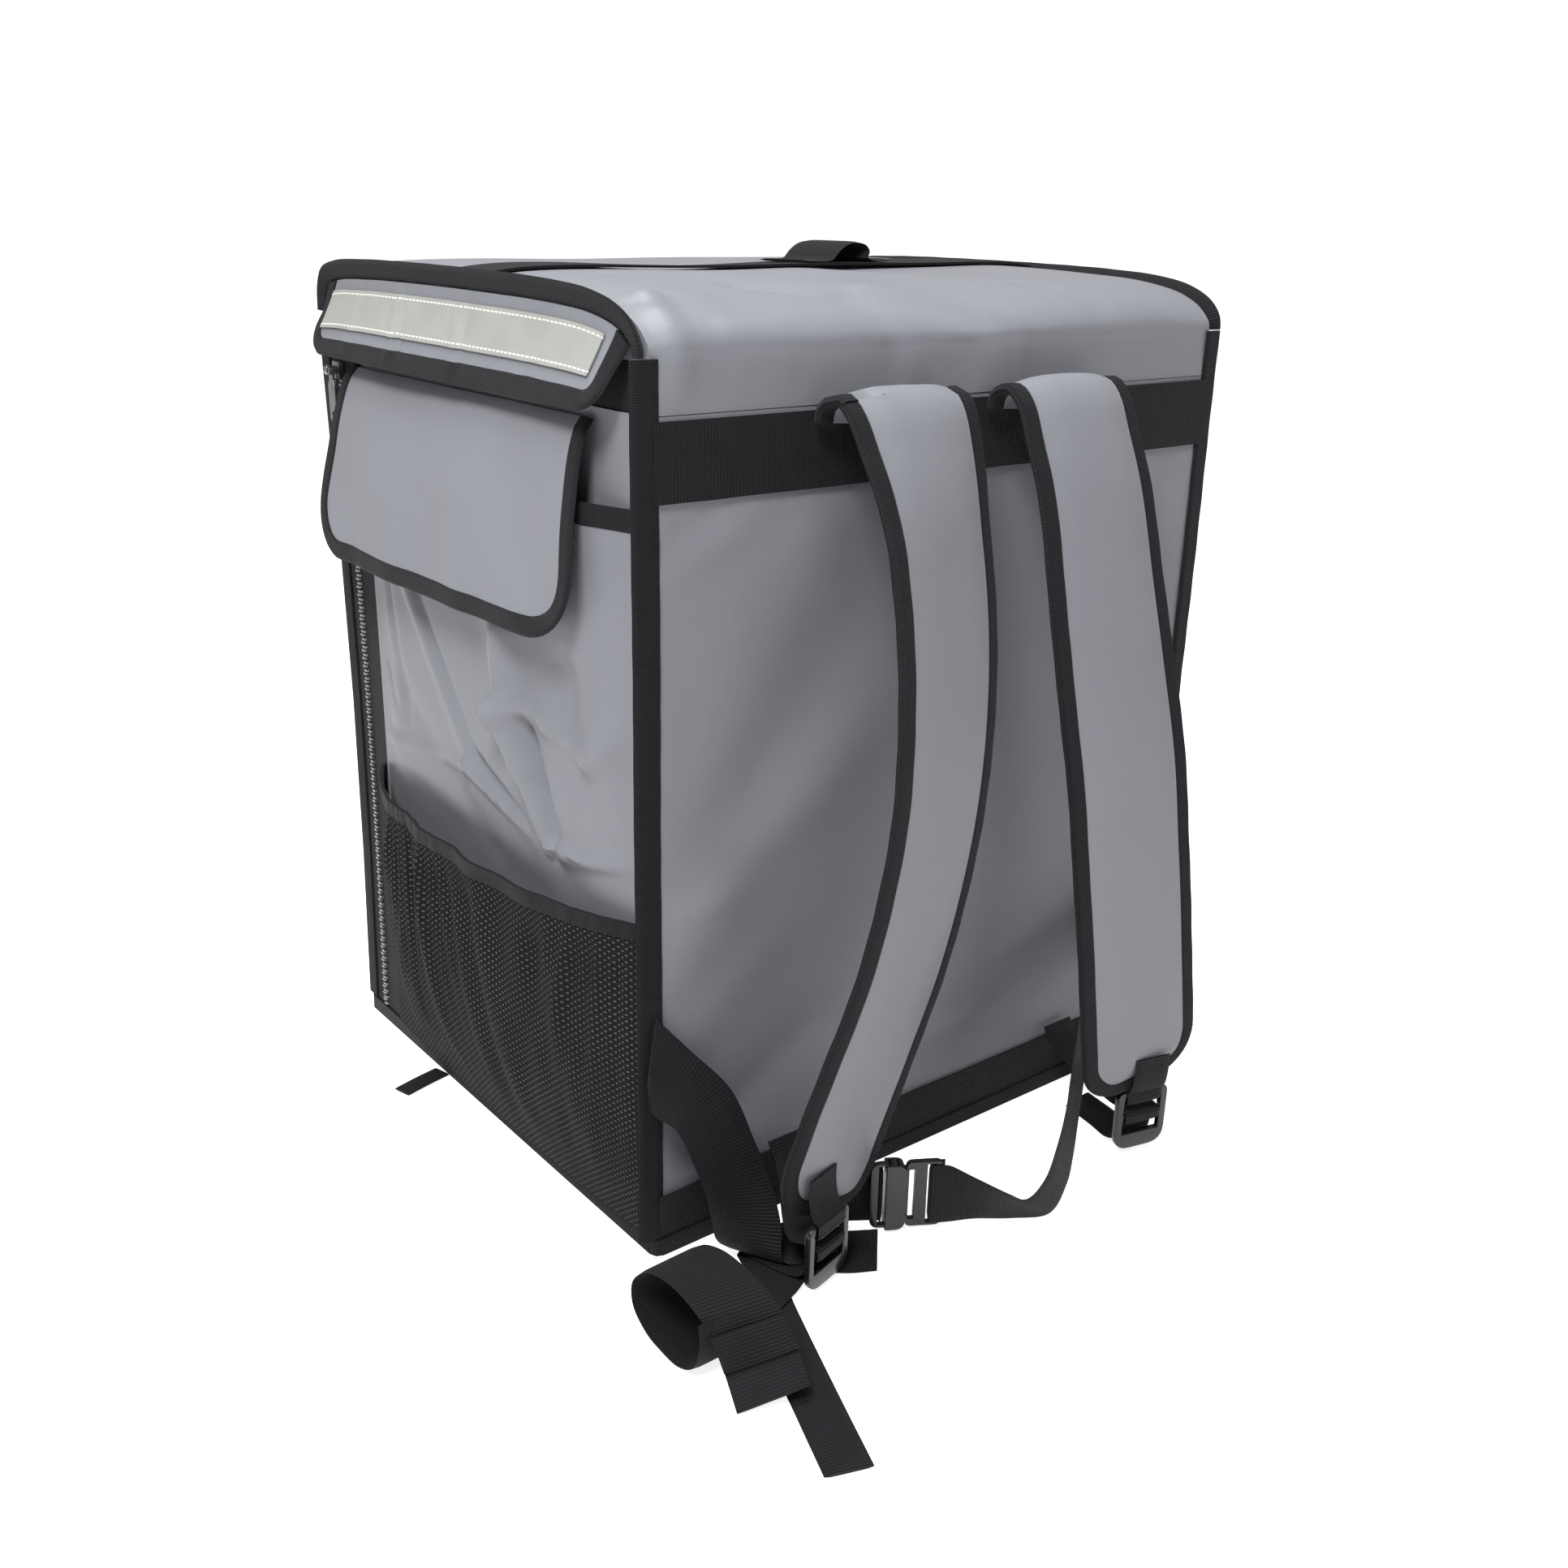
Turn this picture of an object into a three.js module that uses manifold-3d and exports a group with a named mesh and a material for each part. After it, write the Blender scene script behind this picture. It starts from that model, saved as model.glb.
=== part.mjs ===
// Insulated delivery backpack, standing on a floor.
// Millimetres, +Z up, the strap panel faces -Y and the pocket side faces -X.
// The origin is the centre of the base, on the floor.
import * as THREE from "three";
import { mergeVertices } from "three/addons/utils/BufferGeometryUtils.js";
import Module from "manifold-3d";

const wasm = await Module();
wasm.setup();

// Driving dimensions of the bag
const BAG_WIDTH = 400;
const BAG_DEPTH = 360;
const BODY_HEIGHT = 456;
const LID_HEIGHT = 34;
const LID_CROWN = 6;
const LID_SAG = 0.1;
const EDGE_SINK = 4;
const ZIP_BAND = 24;
const WALL = 8;
const CORNER_RADIUS = 3;
const PANEL_SWELL = 4;
const WAIST = 9;

// Cloth, binding and webbing stock
const CLOTH = 1.2;
const BINDING_WIDTH = 11;
const BINDING_THICKNESS = 2.6;
const WEBBING_THICKNESS = 1.5;
const WIDE_WEBBING = 38;
const NARROW_WEBBING = 25;
const GAP = 0.4;

// Lid flaps
const FLAP_LIFT = 14;
const FRONT_FLAP_DROP = 60;
const FLAP_RADIUS = 26;
const REFLECTIVE_WIDTH = 23;

// Side pockets
const POCKET_TOP = 401;
const POCKET_BULGE = 12;
const POCKET_FLAP_DROP = 108;
const POCKET_FLAP_LIFT = 26;
const POCKET_FLAP_WIDTH = 290;
const POCKET_FLAP_CLEAR = 7;
const POCKET_FLAP_RADIUS = 34;
const MESH_TOP = 201;
const MESH_BULGE = 26;
const ELASTIC_WIDTH = 9;
const MESH_CLOTH = 1;

// Upright zip at the front corner of the pocket side
const ZIP_TAPE_WIDTH = 48;
const ZIP_TEETH_WIDTH = 6;
const ZIP_TEETH_HEIGHT = 1.6;
const ZIP_LINE = 156;
const PULLER_LENGTH = 32;
const PULLER_WIDTH = 9;
const PULLER_THICKNESS = 1.6;
const HINGE_PIN_RADIUS = 1.1;
const HINGE_CLEARANCE = 0.5;

// Shoulder straps
const STRAP_WIDTH = 87;
const STRAP_THICKNESS = 11;
const STRAP_EDGE = 5;
const STRAP_CORNER = 30;

// Handle, bands and buckles
const UPPER_BAND_TOP = 454;
const TOP_BAND_LINE = -12;
const BAND_LIFT = 0.8;
const HANDLE_START = 24;
const HANDLE_SPAN = 32;
const HANDLE_RISE = 10;
const HANDLE_ACROSS = [0.4, -0.92, 0];
const LOCK_WIDTH = 36;
const LOCK_HEIGHT = 40;
const LOCK_THICKNESS = 4;
const LOCK_BAR = 4.5;
const BUCKLE_WIDTH = 42;
const SOCKET_LENGTH = 20;
const PLUG_LENGTH = 21;
const BUCKLE_THICKNESS = 10;
const BUCKLE_WALL = 1.8;
const BUCKLE_BAR = 4.5;
const BASE_TAB_WIDTH = 14;

// Derived places
const HALF_WIDTH = BAG_WIDTH / 2;
const HALF_DEPTH = BAG_DEPTH / 2;
const LID_BASE = BODY_HEIGHT + ZIP_BAND;
const LID_TOP = LID_BASE + LID_HEIGHT;
const PANEL_EDGE = BINDING_WIDTH + GAP;
const FLOOR_CLEAR = 0.3;
const BOUND_EXTRA = 0.8;
const POCKET_FOOT = BINDING_WIDTH + 2 * GAP;
const FLAT_SHARE = 0.92;
const FLAP_NEAR_SHARE = 0.87;

// Side profile of the lid over its back and front edges: shares of half the depth and of LID_HEIGHT
const LID_PROFILE = [
  { depth: -1.0, rise: 0.0 },
  { depth: -0.99, rise: 0.3 },
  { depth: -0.95, rise: 0.55 },
  { depth: -0.87, rise: 0.76 },
  { depth: -0.74, rise: 0.9 },
  { depth: -0.5, rise: 0.975 },
  { depth: -0.17, rise: 1.0 },
  { depth: 0.25, rise: 1.0 },
  { depth: 0.62, rise: 0.97 },
  { depth: 0.84, rise: 0.9 },
  { depth: 0.95, rise: 0.74 },
  { depth: 0.99, rise: 0.42 },
  { depth: 1.0, rise: 0.0 },
];

// Soft dents of the strap panel: shares of half the width, the body height and PANEL_SWELL
const BACK_DENTS = [
  { across: -0.72, up: 0.3, reach: 0.16, depth: 1.6 },
  { across: 0.7, up: 0.3, reach: 0.15, depth: 1.2 },
  { across: -0.3, up: 0.62, reach: 0.2, depth: 0.9 },
  { across: 0.35, up: 0.55, reach: 0.2, depth: 0.9 },
];

// Dents of the lid's rolled back: shares of half the width, half the depth and LID_CROWN
const LID_DENTS = [
  { across: -0.62, along: -0.8, reach: 0.2, depth: 0.6 },
  { across: 0.1, along: -0.84, reach: 0.26, depth: 0.9 },
  { across: 0.55, along: -0.5, reach: 0.3, depth: 0.5 },
  { across: -0.3, along: 0.2, reach: 0.34, depth: 0.6 },
];

// Folds of the loose pocket panel, as lines from one end to the other: shares of half the depth
// and of POCKET_TOP; the width is a share of half the depth, the lift a share of POCKET_BULGE
const POCKET_FOLDS = [
  { from: [-0.3, 0.84], to: [-0.44, 0.66], width: 0.07, lift: 0.75 },
  { from: [-0.44, 0.66], to: [-0.62, 0.52], width: 0.06, lift: -0.5 },
  { from: [-0.4, 0.7], to: [-0.5, 0.55], width: 0.05, lift: 0.45 },
  { from: [0.6, 0.72], to: [-0.2, 0.5], width: 0.06, lift: -0.3 },
  { from: [0.55, 0.56], to: [-0.5, 0.5], width: 0.05, lift: 0.25 },
  { from: [-0.75, 0.72], to: [-0.7, 0.52], width: 0.05, lift: -0.3 },
];

const FABRIC = { color: 0x7f8087, roughness: 0.6, metalness: 0 };
const BLACK_FABRIC = { color: 0x17181b, roughness: 0.85, metalness: 0 };
const MESH_FABRIC = { color: 0x202226, roughness: 0.8, metalness: 0 };
const REFLECTIVE = { color: 0xc9ccc4, roughness: 0.45, metalness: 0 };
const PLASTIC = { color: 0x101114, roughness: 0.3, metalness: 0 };
const METAL = { color: 0x9b9c9f, roughness: 0.3, metalness: 1 };

const group = new THREE.Group();

function point(x, y, z) {
  return new THREE.Vector3(x, y, z);
}

function lerp(a, b, t) {
  return a + (b - a) * t;
}

function bell(distance, reach) {
  return Math.exp(-((distance / reach) ** 2));
}

// Adds one named piece with a material of its own
function add(name, geometry, look) {
  const mesh = new THREE.Mesh(geometry, new THREE.MeshStandardMaterial(look));
  mesh.name = name;
  group.add(mesh);
}

// Six times the volume inside a set of triangles
function signedVolume(positions, index) {
  const [a, b, c] = [point(0, 0, 0), point(0, 0, 0), point(0, 0, 0)];
  let total = 0;
  for (let i = 0; i < index.length; i += 3) {
    a.fromArray(positions, 3 * index[i]);
    b.fromArray(positions, 3 * index[i + 1]);
    c.fromArray(positions, 3 * index[i + 2]);
    total += a.dot(b.cross(c));
  }
  return total;
}

// Makes a geometry whose faces point out of the body
function outwardGeometry(points, index) {
  const positions = points.flatMap((p) => [p.x, p.y, p.z]);
  if (signedVolume(positions, index) < 0) {
    index.reverse();
  }
  const geometry = new THREE.BufferGeometry();
  geometry.setAttribute("position", new THREE.Float32BufferAttribute(positions, 3));
  geometry.setIndex(index);
  return geometry;
}

// A closed body through rings of points, capped at both ends
function skin(rings) {
  const count = rings[0].length;
  const index = [];
  for (let row = 0; row + 1 < rings.length; row++) {
    for (let i = 0; i < count; i++) {
      const a = row * count + i;
      const b = row * count + ((i + 1) % count);
      index.push(a, b, a + count, b, b + count, a + count);
    }
  }
  const last = (rings.length - 1) * count;
  for (let i = 1; i + 1 < count; i++) {
    index.push(0, i + 1, i, last, last + i, last + i + 1);
  }
  return outwardGeometry(rings.flat(), index);
}

// A closed body between two grids of points with equal rows and columns
function slab(front, back) {
  const rows = front.length;
  const columns = front[0].length;
  const offset = rows * columns;
  const index = [];
  const quad = (a, b, c, d) => index.push(a, b, c, a, c, d);
  for (let i = 0; i + 1 < rows; i++) {
    for (let j = 0; j + 1 < columns; j++) {
      const a = i * columns + j;
      quad(a, a + 1, a + columns + 1, a + columns);
      quad(offset + a, offset + a + columns, offset + a + columns + 1, offset + a + 1);
    }
  }
  const rim = [];
  for (let j = 0; j < columns; j++) rim.push(j);
  for (let i = 1; i < rows; i++) rim.push(i * columns + columns - 1);
  for (let j = columns - 2; j >= 0; j--) rim.push((rows - 1) * columns + j);
  for (let i = rows - 2; i > 0; i--) rim.push(i * columns);
  rim.forEach((a, i) => {
    const b = rim[(i + 1) % rim.length];
    quad(a, a + offset, b + offset, b);
  });
  return outwardGeometry([...front.flat(), ...back.flat()], index);
}

function toSolid(geometry) {
  const bare = geometry.clone();
  bare.deleteAttribute("normal");
  bare.deleteAttribute("uv");
  const merged = mergeVertices(bare, 1e-3);
  return new wasm.Manifold(new wasm.Mesh({
    numProp: 3,
    vertProperties: merged.attributes.position.array,
    triVerts: new Uint32Array(merged.index.array),
  }));
}

function toGeometry(solid) {
  const mesh = solid.getMesh();
  const geometry = new THREE.BufferGeometry();
  geometry.setAttribute("position", new THREE.BufferAttribute(mesh.vertProperties, 3));
  geometry.setIndex(new THREE.BufferAttribute(mesh.triVerts, 1));
  return geometry;
}

// How far a panel swells out; across and up run over its width and the body height
function swell(across, up) {
  const inside = up > 0 && up < 1 ? Math.sin(Math.PI * up) : 0;
  return PANEL_SWELL * Math.max(0, 1 - (across / FLAT_SHARE) ** 2) * Math.sqrt(inside);
}

function backDents(across, up) {
  let total = 0;
  for (const dent of BACK_DENTS) {
    const aside = (across - dent.across) * HALF_WIDTH / BODY_HEIGHT;
    total += dent.depth * PANEL_SWELL * bell(Math.hypot(aside, up - dent.up), dent.reach);
  }
  return total * Math.max(0, 1 - across ** 4);
}

// The far half of the bag is drawn in between its foot and its lid
function drawnIn(y, z) {
  const inside = z > 0 && z < BODY_HEIGHT ? Math.sin(Math.PI * z / BODY_HEIGHT) : 0;
  return y - WAIST * Math.max(0, y / HALF_DEPTH) * inside;
}

// Points on the panels, a distance off their cloth: side is -1 on the pocket side
function sidePoint(side, y, z, off) {
  return point(side * (HALF_WIDTH + swell(y / HALF_DEPTH, z / BODY_HEIGHT) + off), drawnIn(y, z), z);
}

function backPoint(x, z, off) {
  const [across, up] = [x / HALF_WIDTH, z / BODY_HEIGHT];
  const out = swell(across, up) - backDents(across, up);
  return point(x, -(HALF_DEPTH + out + off), z);
}

function frontPoint(x, z, off) {
  return point(x, drawnIn(HALF_DEPTH, z) + off, z);
}

// One outline of the body at a height, off its cloth by a distance
function bodyOutline(z, off, perFace, perCorner) {
  const points = [];
  const radius = Math.max(CORNER_RADIUS + off, 1);
  const corner = (cx, cy, start) => {
    for (let i = 1; i < perCorner; i++) {
      const angle = start + (Math.PI / 2) * (i / perCorner);
      points.push(point(cx + radius * Math.cos(angle), drawnIn(cy, z) + radius * Math.sin(angle), z));
    }
  };
  const x = HALF_WIDTH - CORNER_RADIUS;
  const y = HALF_DEPTH - CORNER_RADIUS;
  for (let i = 0; i <= perFace; i++) points.push(backPoint(lerp(-x, x, i / perFace), z, off));
  corner(x, -y, -Math.PI / 2);
  for (let i = 0; i <= perFace; i++) points.push(sidePoint(1, lerp(-y, y, i / perFace), z, off));
  corner(x, y, 0);
  for (let i = 0; i <= perFace; i++) points.push(frontPoint(lerp(x, -x, i / perFace), z, off));
  corner(-x, y, Math.PI / 2);
  for (let i = 0; i <= perFace; i++) points.push(sidePoint(-1, lerp(y, -y, i / perFace), z, off));
  corner(-x, -y, Math.PI);
  return points;
}

function bodyShell() {
  const outline = (z, off) => bodyOutline(z, off, 7, 2);
  const levels = [0, 0.16, 0.33, 0.5, 0.66, 0.83, 1];
  const outside = levels.map((share) => outline(share * BODY_HEIGHT, 0));
  const inside = [1, 0.5].map((share) => outline(share * BODY_HEIGHT, -WALL));
  return skin([...outside, ...inside, outline(WALL, -WALL)]);
}

// Smooth line through the lid's side profile, from the back to the front
const lidCurve = new THREE.CatmullRomCurve3(
  LID_PROFILE.map(({ depth, rise }) => point(0, depth * HALF_DEPTH, LID_BASE + rise * LID_HEIGHT)),
);

// Where on the profile a line at a distance inside it reaches a depth
function profileShare(y, inset) {
  let low = 0;
  let high = 1;
  for (let i = 0; i < 30; i++) {
    const middle = (low + high) / 2;
    if (profilePoint(middle, -inset).y < y) low = middle;
    else high = middle;
  }
  return low;
}

function lidCrown(x, y) {
  const across = x / HALF_WIDTH;
  const along = y / HALF_DEPTH;
  let total = -LID_SAG * (1 - across * across) * Math.max(0, 1 - along * along);
  for (const dent of LID_DENTS) {
    const distance = Math.hypot(across - dent.across, along - dent.along);
    total -= dent.depth * bell(distance, dent.reach) * (1 - across ** 4);
  }
  return total * LID_CROWN;
}

// A point of the profile, off it by a distance
function profilePoint(t, off) {
  const along = lidCurve.getTangent(t);
  const here = lidCurve.getPoint(t);
  here.y -= along.z * off;
  here.z = Math.max(here.z + along.y * off, LID_BASE);
  return here;
}

// A point on the lid's top; t runs over the profile, from the rim at the back to the one in front.
// The cloth dips under the binding that stands along the lid's two sides
function lidPoint(x, t, off) {
  const upward = Math.max(0, lidCurve.getTangent(t).y);
  const sink = EDGE_SINK * Math.abs(x / HALF_WIDTH) ** 10;
  const here = profilePoint(t, off - sink * upward);
  here.z += lidCrown(x, here.y) * upward;
  here.x = x;
  return here;
}

function lid() {
  const columns = 8;
  const rows = 13;
  const sheet = (off) => {
    const grid = [];
    const rim = BODY_HEIGHT + GAP;
    const line = (place) => {
      const row = [];
      for (let j = 0; j <= columns; j++) row.push(place(lerp(-HALF_WIDTH, HALF_WIDTH, j / columns)));
      grid.push(row);
    };
    line((x) => point(x, -HALF_DEPTH - off, rim));
    for (let i = 0; i <= rows; i++) line((x) => lidPoint(x, i / rows, off));
    return grid;
  };
  let solid = toSolid(slab(sheet(0), sheet(-WALL)));
  for (const side of [-1, 1]) {
    const inset = side * (HALF_WIDTH - GAP);
    const outer = [];
    const inner = [];
    for (let i = 1; i < rows; i++) {
      const over = lidPoint(side * HALF_WIDTH, i / rows, -WALL / 2);
      const under = point(0, over.y, LID_BASE);
      outer.push([point(inset, under.y, under.z), point(inset, over.y, over.z)]);
      inner.push([
        point(inset - side * WALL, under.y, under.z),
        point(inset - side * WALL, over.y, over.z),
      ]);
    }
    solid = solid.add(toSolid(slab(outer, inner)));
  }
  return toGeometry(solid);
}

// The outline of a bound flap with four corners and rounded lower ones, moved in by an inset:
// its left side, bottom and right side in the flap's own flat coordinates
function flapOutline(shape, inset) {
  const { corners, radius, down, across } = shape;
  const [topLeft, bottomLeft, bottomRight, topRight] = corners.map((c) => new THREE.Vector2(...c));
  const inward = (from, to) => {
    const along = to.clone().sub(from).normalize();
    return new THREE.Vector2(-along.y, along.x).multiplyScalar(inset);
  };
  const left = inward(topLeft, bottomLeft);
  const bottom = inward(bottomLeft, bottomRight);
  const right = inward(bottomRight, topRight);
  const meet = (p, pDirection, q, qDirection) => {
    const cross = pDirection.x * qDirection.y - pDirection.y * qDirection.x;
    const apart = q.clone().sub(p);
    const t = (apart.x * qDirection.y - apart.y * qDirection.x) / cross;
    return p.clone().addScaledVector(pDirection, t);
  };
  const leftway = bottomLeft.clone().sub(topLeft).normalize();
  const bottomway = bottomRight.clone().sub(bottomLeft).normalize();
  const rightway = topRight.clone().sub(bottomRight).normalize();
  const lowLeft = meet(topLeft.clone().add(left), leftway, bottomLeft.clone().add(bottom), bottomway);
  const lowRight = meet(bottomRight.clone().add(bottom), bottomway, topRight.clone().add(right), rightway);
  const topway = topRight.clone().sub(topLeft);
  const highLeft = meet(topLeft, topway, topLeft.clone().add(left), leftway);
  const highRight = meet(topLeft, topway, topRight.clone().add(right), rightway);
  const round = (before, corner, after) => {
    const turn = Math.acos(THREE.MathUtils.clamp(before.dot(after), -1, 1));
    const arc = Math.max(radius - inset, 1);
    const start = corner.clone().addScaledVector(before, -arc * Math.tan(turn / 2));
    const centre = start.clone().add(new THREE.Vector2(-before.y, before.x).multiplyScalar(arc));
    const points = [];
    for (let i = 0; i <= 6; i++) {
      points.push(start.clone().rotateAround(centre, turn * (i / 6)));
    }
    return points;
  };
  const arcLeft = round(leftway, lowLeft, bottomway);
  const arcRight = round(bottomway, lowRight, rightway);
  const straight = (from, to, count) => {
    const points = [];
    for (let i = 0; i < count; i++) points.push(from.clone().lerp(to, i / count));
    return points;
  };
  return {
    left: [...straight(highLeft, arcLeft[0], down), ...arcLeft.slice(0, 4)],
    bottom: [...arcLeft.slice(3), ...straight(arcLeft[6], arcRight[0], across).slice(1),
      ...arcRight.slice(0, 4)],
    right: [...straight(highRight, arcRight[6], down), ...arcRight.slice(3).reverse()],
  };
}

function shares(points) {
  const lengths = [0];
  for (let i = 1; i < points.length; i++) {
    lengths.push(lengths[i - 1] + points[i].distanceTo(points[i - 1]));
  }
  return lengths.map((length) => length / lengths[lengths.length - 1]);
}

// A grid of flat points inside an outline, blended from its four sides
function flapGrid(outline) {
  const { left, bottom, right } = outline;
  const acrossShares = shares(bottom);
  const downShares = shares(left);
  const [topLeft, topRight] = [left[0], right[0]];
  const [lowLeft, lowRight] = [bottom[0], bottom[bottom.length - 1]];
  return downShares.map((t, i) => acrossShares.map((s, j) => {
    const top = topLeft.clone().lerp(topRight, s);
    const sides = left[i].clone().lerp(right[i], s);
    const ends = top.clone().lerp(bottom[j], t);
    const base = topLeft.clone().lerp(topRight, s).lerp(lowLeft.clone().lerp(lowRight, s), t);
    return sides.add(ends).sub(base);
  }));
}

// Lifts a flat point onto a surface and off it by a distance; facing is the outward side
function lifted(surface, facing, flat, off) {
  const step = 0.5;
  const here = surface(flat.x, flat.y);
  const across = surface(flat.x + step, flat.y).sub(surface(flat.x - step, flat.y));
  const up = surface(flat.x, flat.y + step).sub(surface(flat.x, flat.y - step));
  const normal = across.cross(up).normalize();
  if (normal.dot(facing) < 0) normal.negate();
  return here.addScaledVector(normal, off);
}

// A cloth sheet on a surface between a low and a high distance off it
function sheetOn(surface, facing, grid, low, high) {
  const at = (off) => grid.map((row) => row.map((p) => lifted(surface, facing, p, off(p))));
  return slab(at(high), at(low));
}

// The binding round a flap's two sides and bottom
function bindingOn(surface, facing, shape, low, high) {
  const path = (inset) => {
    const { left, bottom, right } = flapOutline(shape, inset);
    return [...left, ...bottom.slice(1), ...right.slice(0, -1).reverse()];
  };
  const outer = path(0);
  const inner = path(BINDING_WIDTH);
  return skin(outer.map((p, i) => [
    lifted(surface, facing, p, low),
    lifted(surface, facing, inner[i], low),
    lifted(surface, facing, inner[i], high),
    lifted(surface, facing, p, high),
  ]));
}

// A bound cloth flap: a sheet and the binding round it, as two pieces
function boundFlap(name, surface, facing, shape) {
  const grid = flapGrid(flapOutline(shape, BINDING_WIDTH + GAP));
  add(name, sheetOn(surface, facing, grid, () => 0, () => CLOTH), FABRIC);
  const binding = bindingOn(surface, facing, shape, -BOUND_EXTRA, CLOTH + BOUND_EXTRA);
  add(`${name}_binding`, binding, BLACK_FABRIC);
}

// A strip of constant thickness between two rows of edge points
function strip(first, second, thickness) {
  const rings = first.map((a, i) => {
    const b = second[i];
    const before = Math.max(i - 1, 0);
    const after = Math.min(i + 1, first.length - 1);
    const along = first[after].clone().add(second[after]).sub(first[before]).sub(second[before]);
    const normal = along.cross(b.clone().sub(a)).normalize().multiplyScalar(thickness / 2);
    return [a.clone().add(normal), b.clone().add(normal), b.clone().sub(normal), a.clone().sub(normal)];
  });
  return skin(rings);
}

// Free webbing through a short list of places: each has its centre and the direction of its width
function webbing(places, width, stepsPerPlace) {
  const edge = (side) => new THREE.CatmullRomCurve3(places.map(({ at, across }) => {
    const half = point(...across).setLength(side * width / 2);
    return point(...at).add(half);
  }), false, "centripetal");
  const count = (places.length - 1) * stepsPerPlace;
  return strip(edge(1).getPoints(count), edge(-1).getPoints(count), WEBBING_THICKNESS);
}

// The lid's flaps
const FLAP_FOOT = BODY_HEIGHT;
const FLAP_DROP = LID_TOP - BINDING_WIDTH - GAP - FLAP_FOOT;

function sideFlapTop(y) {
  const inset = BINDING_WIDTH + GAP;
  const reach = HALF_DEPTH - inset - 1;
  const share = profileShare(THREE.MathUtils.clamp(y, -reach, reach), inset);
  return profilePoint(share, -inset).z;
}

function sideFlapSurface(side) {
  return (y, share) => {
    const t = 1 - share / FLAP_DROP;
    const z = lerp(sideFlapTop(y), FLAP_FOOT, t);
    const wave = 1.2 * Math.sin(y / 34) * t;
    const lift = 1.6 + FLAP_LIFT * Math.max(t, 0) ** 1.3 + wave;
    return point(side * (HALF_WIDTH + lift), y, z);
  };
}

function lidFlaps() {
  const shape = {
    corners: [
      [-0.93 * HALF_DEPTH, FLAP_DROP],
      [-FLAP_NEAR_SHARE * HALF_DEPTH, 0],
      [1.02 * HALF_DEPTH, 0],
      [0.9 * HALF_DEPTH, FLAP_DROP],
    ],
    radius: 18,
    down: 2,
    across: 8,
  };
  boundFlap("lid_flap_left", sideFlapSurface(-1), point(-1, 0, 0), shape);
  boundFlap("lid_flap_right", sideFlapSurface(1), point(1, 0, 0), shape);
  const front = (x, share) => {
    const t = 1 - share / FRONT_FLAP_DROP;
    const z = lerp(LID_TOP - 12, LID_TOP - 12 - FRONT_FLAP_DROP, t);
    return point(x, HALF_DEPTH - 4.2 + 1.3 * FLAP_LIFT * Math.sqrt(Math.max(t, 0)), z);
  };
  const reach = HALF_WIDTH - 4;
  boundFlap("lid_flap_front", front, point(0, 1, 0), {
    corners: [[-reach, FRONT_FLAP_DROP], [-reach, 0], [reach, 0], [reach, FRONT_FLAP_DROP]],
    radius: FLAP_RADIUS,
    down: 2,
    across: 6,
  });
}

function reflectiveStrip() {
  const surface = sideFlapSurface(-1);
  const low = BINDING_WIDTH + 6;
  const high = low + REFLECTIVE_WIDTH;
  const ends = (share) => [
    lerp(-FLAP_NEAR_SHARE, -0.93, share / FLAP_DROP) * HALF_DEPTH + BINDING_WIDTH + 5,
    lerp(1.02, 0.9, share / FLAP_DROP) * HALF_DEPTH - BINDING_WIDTH - 2,
  ];
  const rows = [low, (low + high) / 2, high].map((share) => {
    const [near, far] = ends(share);
    const row = [];
    for (let j = 0; j <= 10; j++) row.push(new THREE.Vector2(lerp(near, far, j / 10), share));
    return row;
  });
  return sheetOn(surface, point(-1, 0, 0), rows, () => CLOTH + 1, () => CLOTH + 1.5);
}

// Bindings of the bag's seams. The ones along the lid's sides stand up and lean out a little
function archBinding(side) {
  const rings = [];
  const count = 20;
  const lean = BINDING_THICKNESS;
  for (let i = 0; i <= count; i++) {
    const t = lerp(0.02, 0.995, i / count);
    const outer = profilePoint(t, 0);
    const inner = profilePoint(t, -BINDING_WIDTH);
    const out = (p, off) => point(side * (HALF_WIDTH + off), p.y, p.z);
    rings.push([out(outer, GAP + lean), out(inner, GAP), out(inner, GAP + BINDING_THICKNESS),
      out(outer, GAP + BINDING_THICKNESS + lean)]);
  }
  return skin(rings);
}

// Binding that stands out sideways from an upright back seam, in the plane of the strap panel
function backBinding(side) {
  const [x0, x1] = [side * (HALF_WIDTH + GAP), side * (HALF_WIDTH + BINDING_WIDTH)];
  const [y0, y1] = [-HALF_DEPTH - GAP, -HALF_DEPTH - GAP + BINDING_THICKNESS];
  const ring = (z) => [point(x0, y0, z), point(x1, y0, z), point(x1, y1, z), point(x0, y1, z)];
  const rings = [];
  for (let i = 0; i <= 4; i++) rings.push(ring(lerp(POCKET_FOOT, LID_BASE - GAP, i / 4)));
  return skin(rings);
}

// Binding folded round an upright front seam
function frontBinding(side) {
  const leg = BINDING_WIDTH - 2;
  const section = (off) => [
    [HALF_WIDTH + off, HALF_DEPTH - leg],
    [HALF_WIDTH + off, HALF_DEPTH + off],
    [HALF_WIDTH - leg, HALF_DEPTH + off],
  ];
  const ring = (z) => [...section(GAP + BINDING_THICKNESS), ...section(GAP).reverse()]
    .map(([x, y]) => point(side * x, drawnIn(y, z), z));
  const rings = [];
  for (let i = 0; i <= 4; i++) rings.push(ring(lerp(POCKET_FOOT, BODY_HEIGHT, i / 4)));
  return bentSkin(rings);
}

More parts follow.
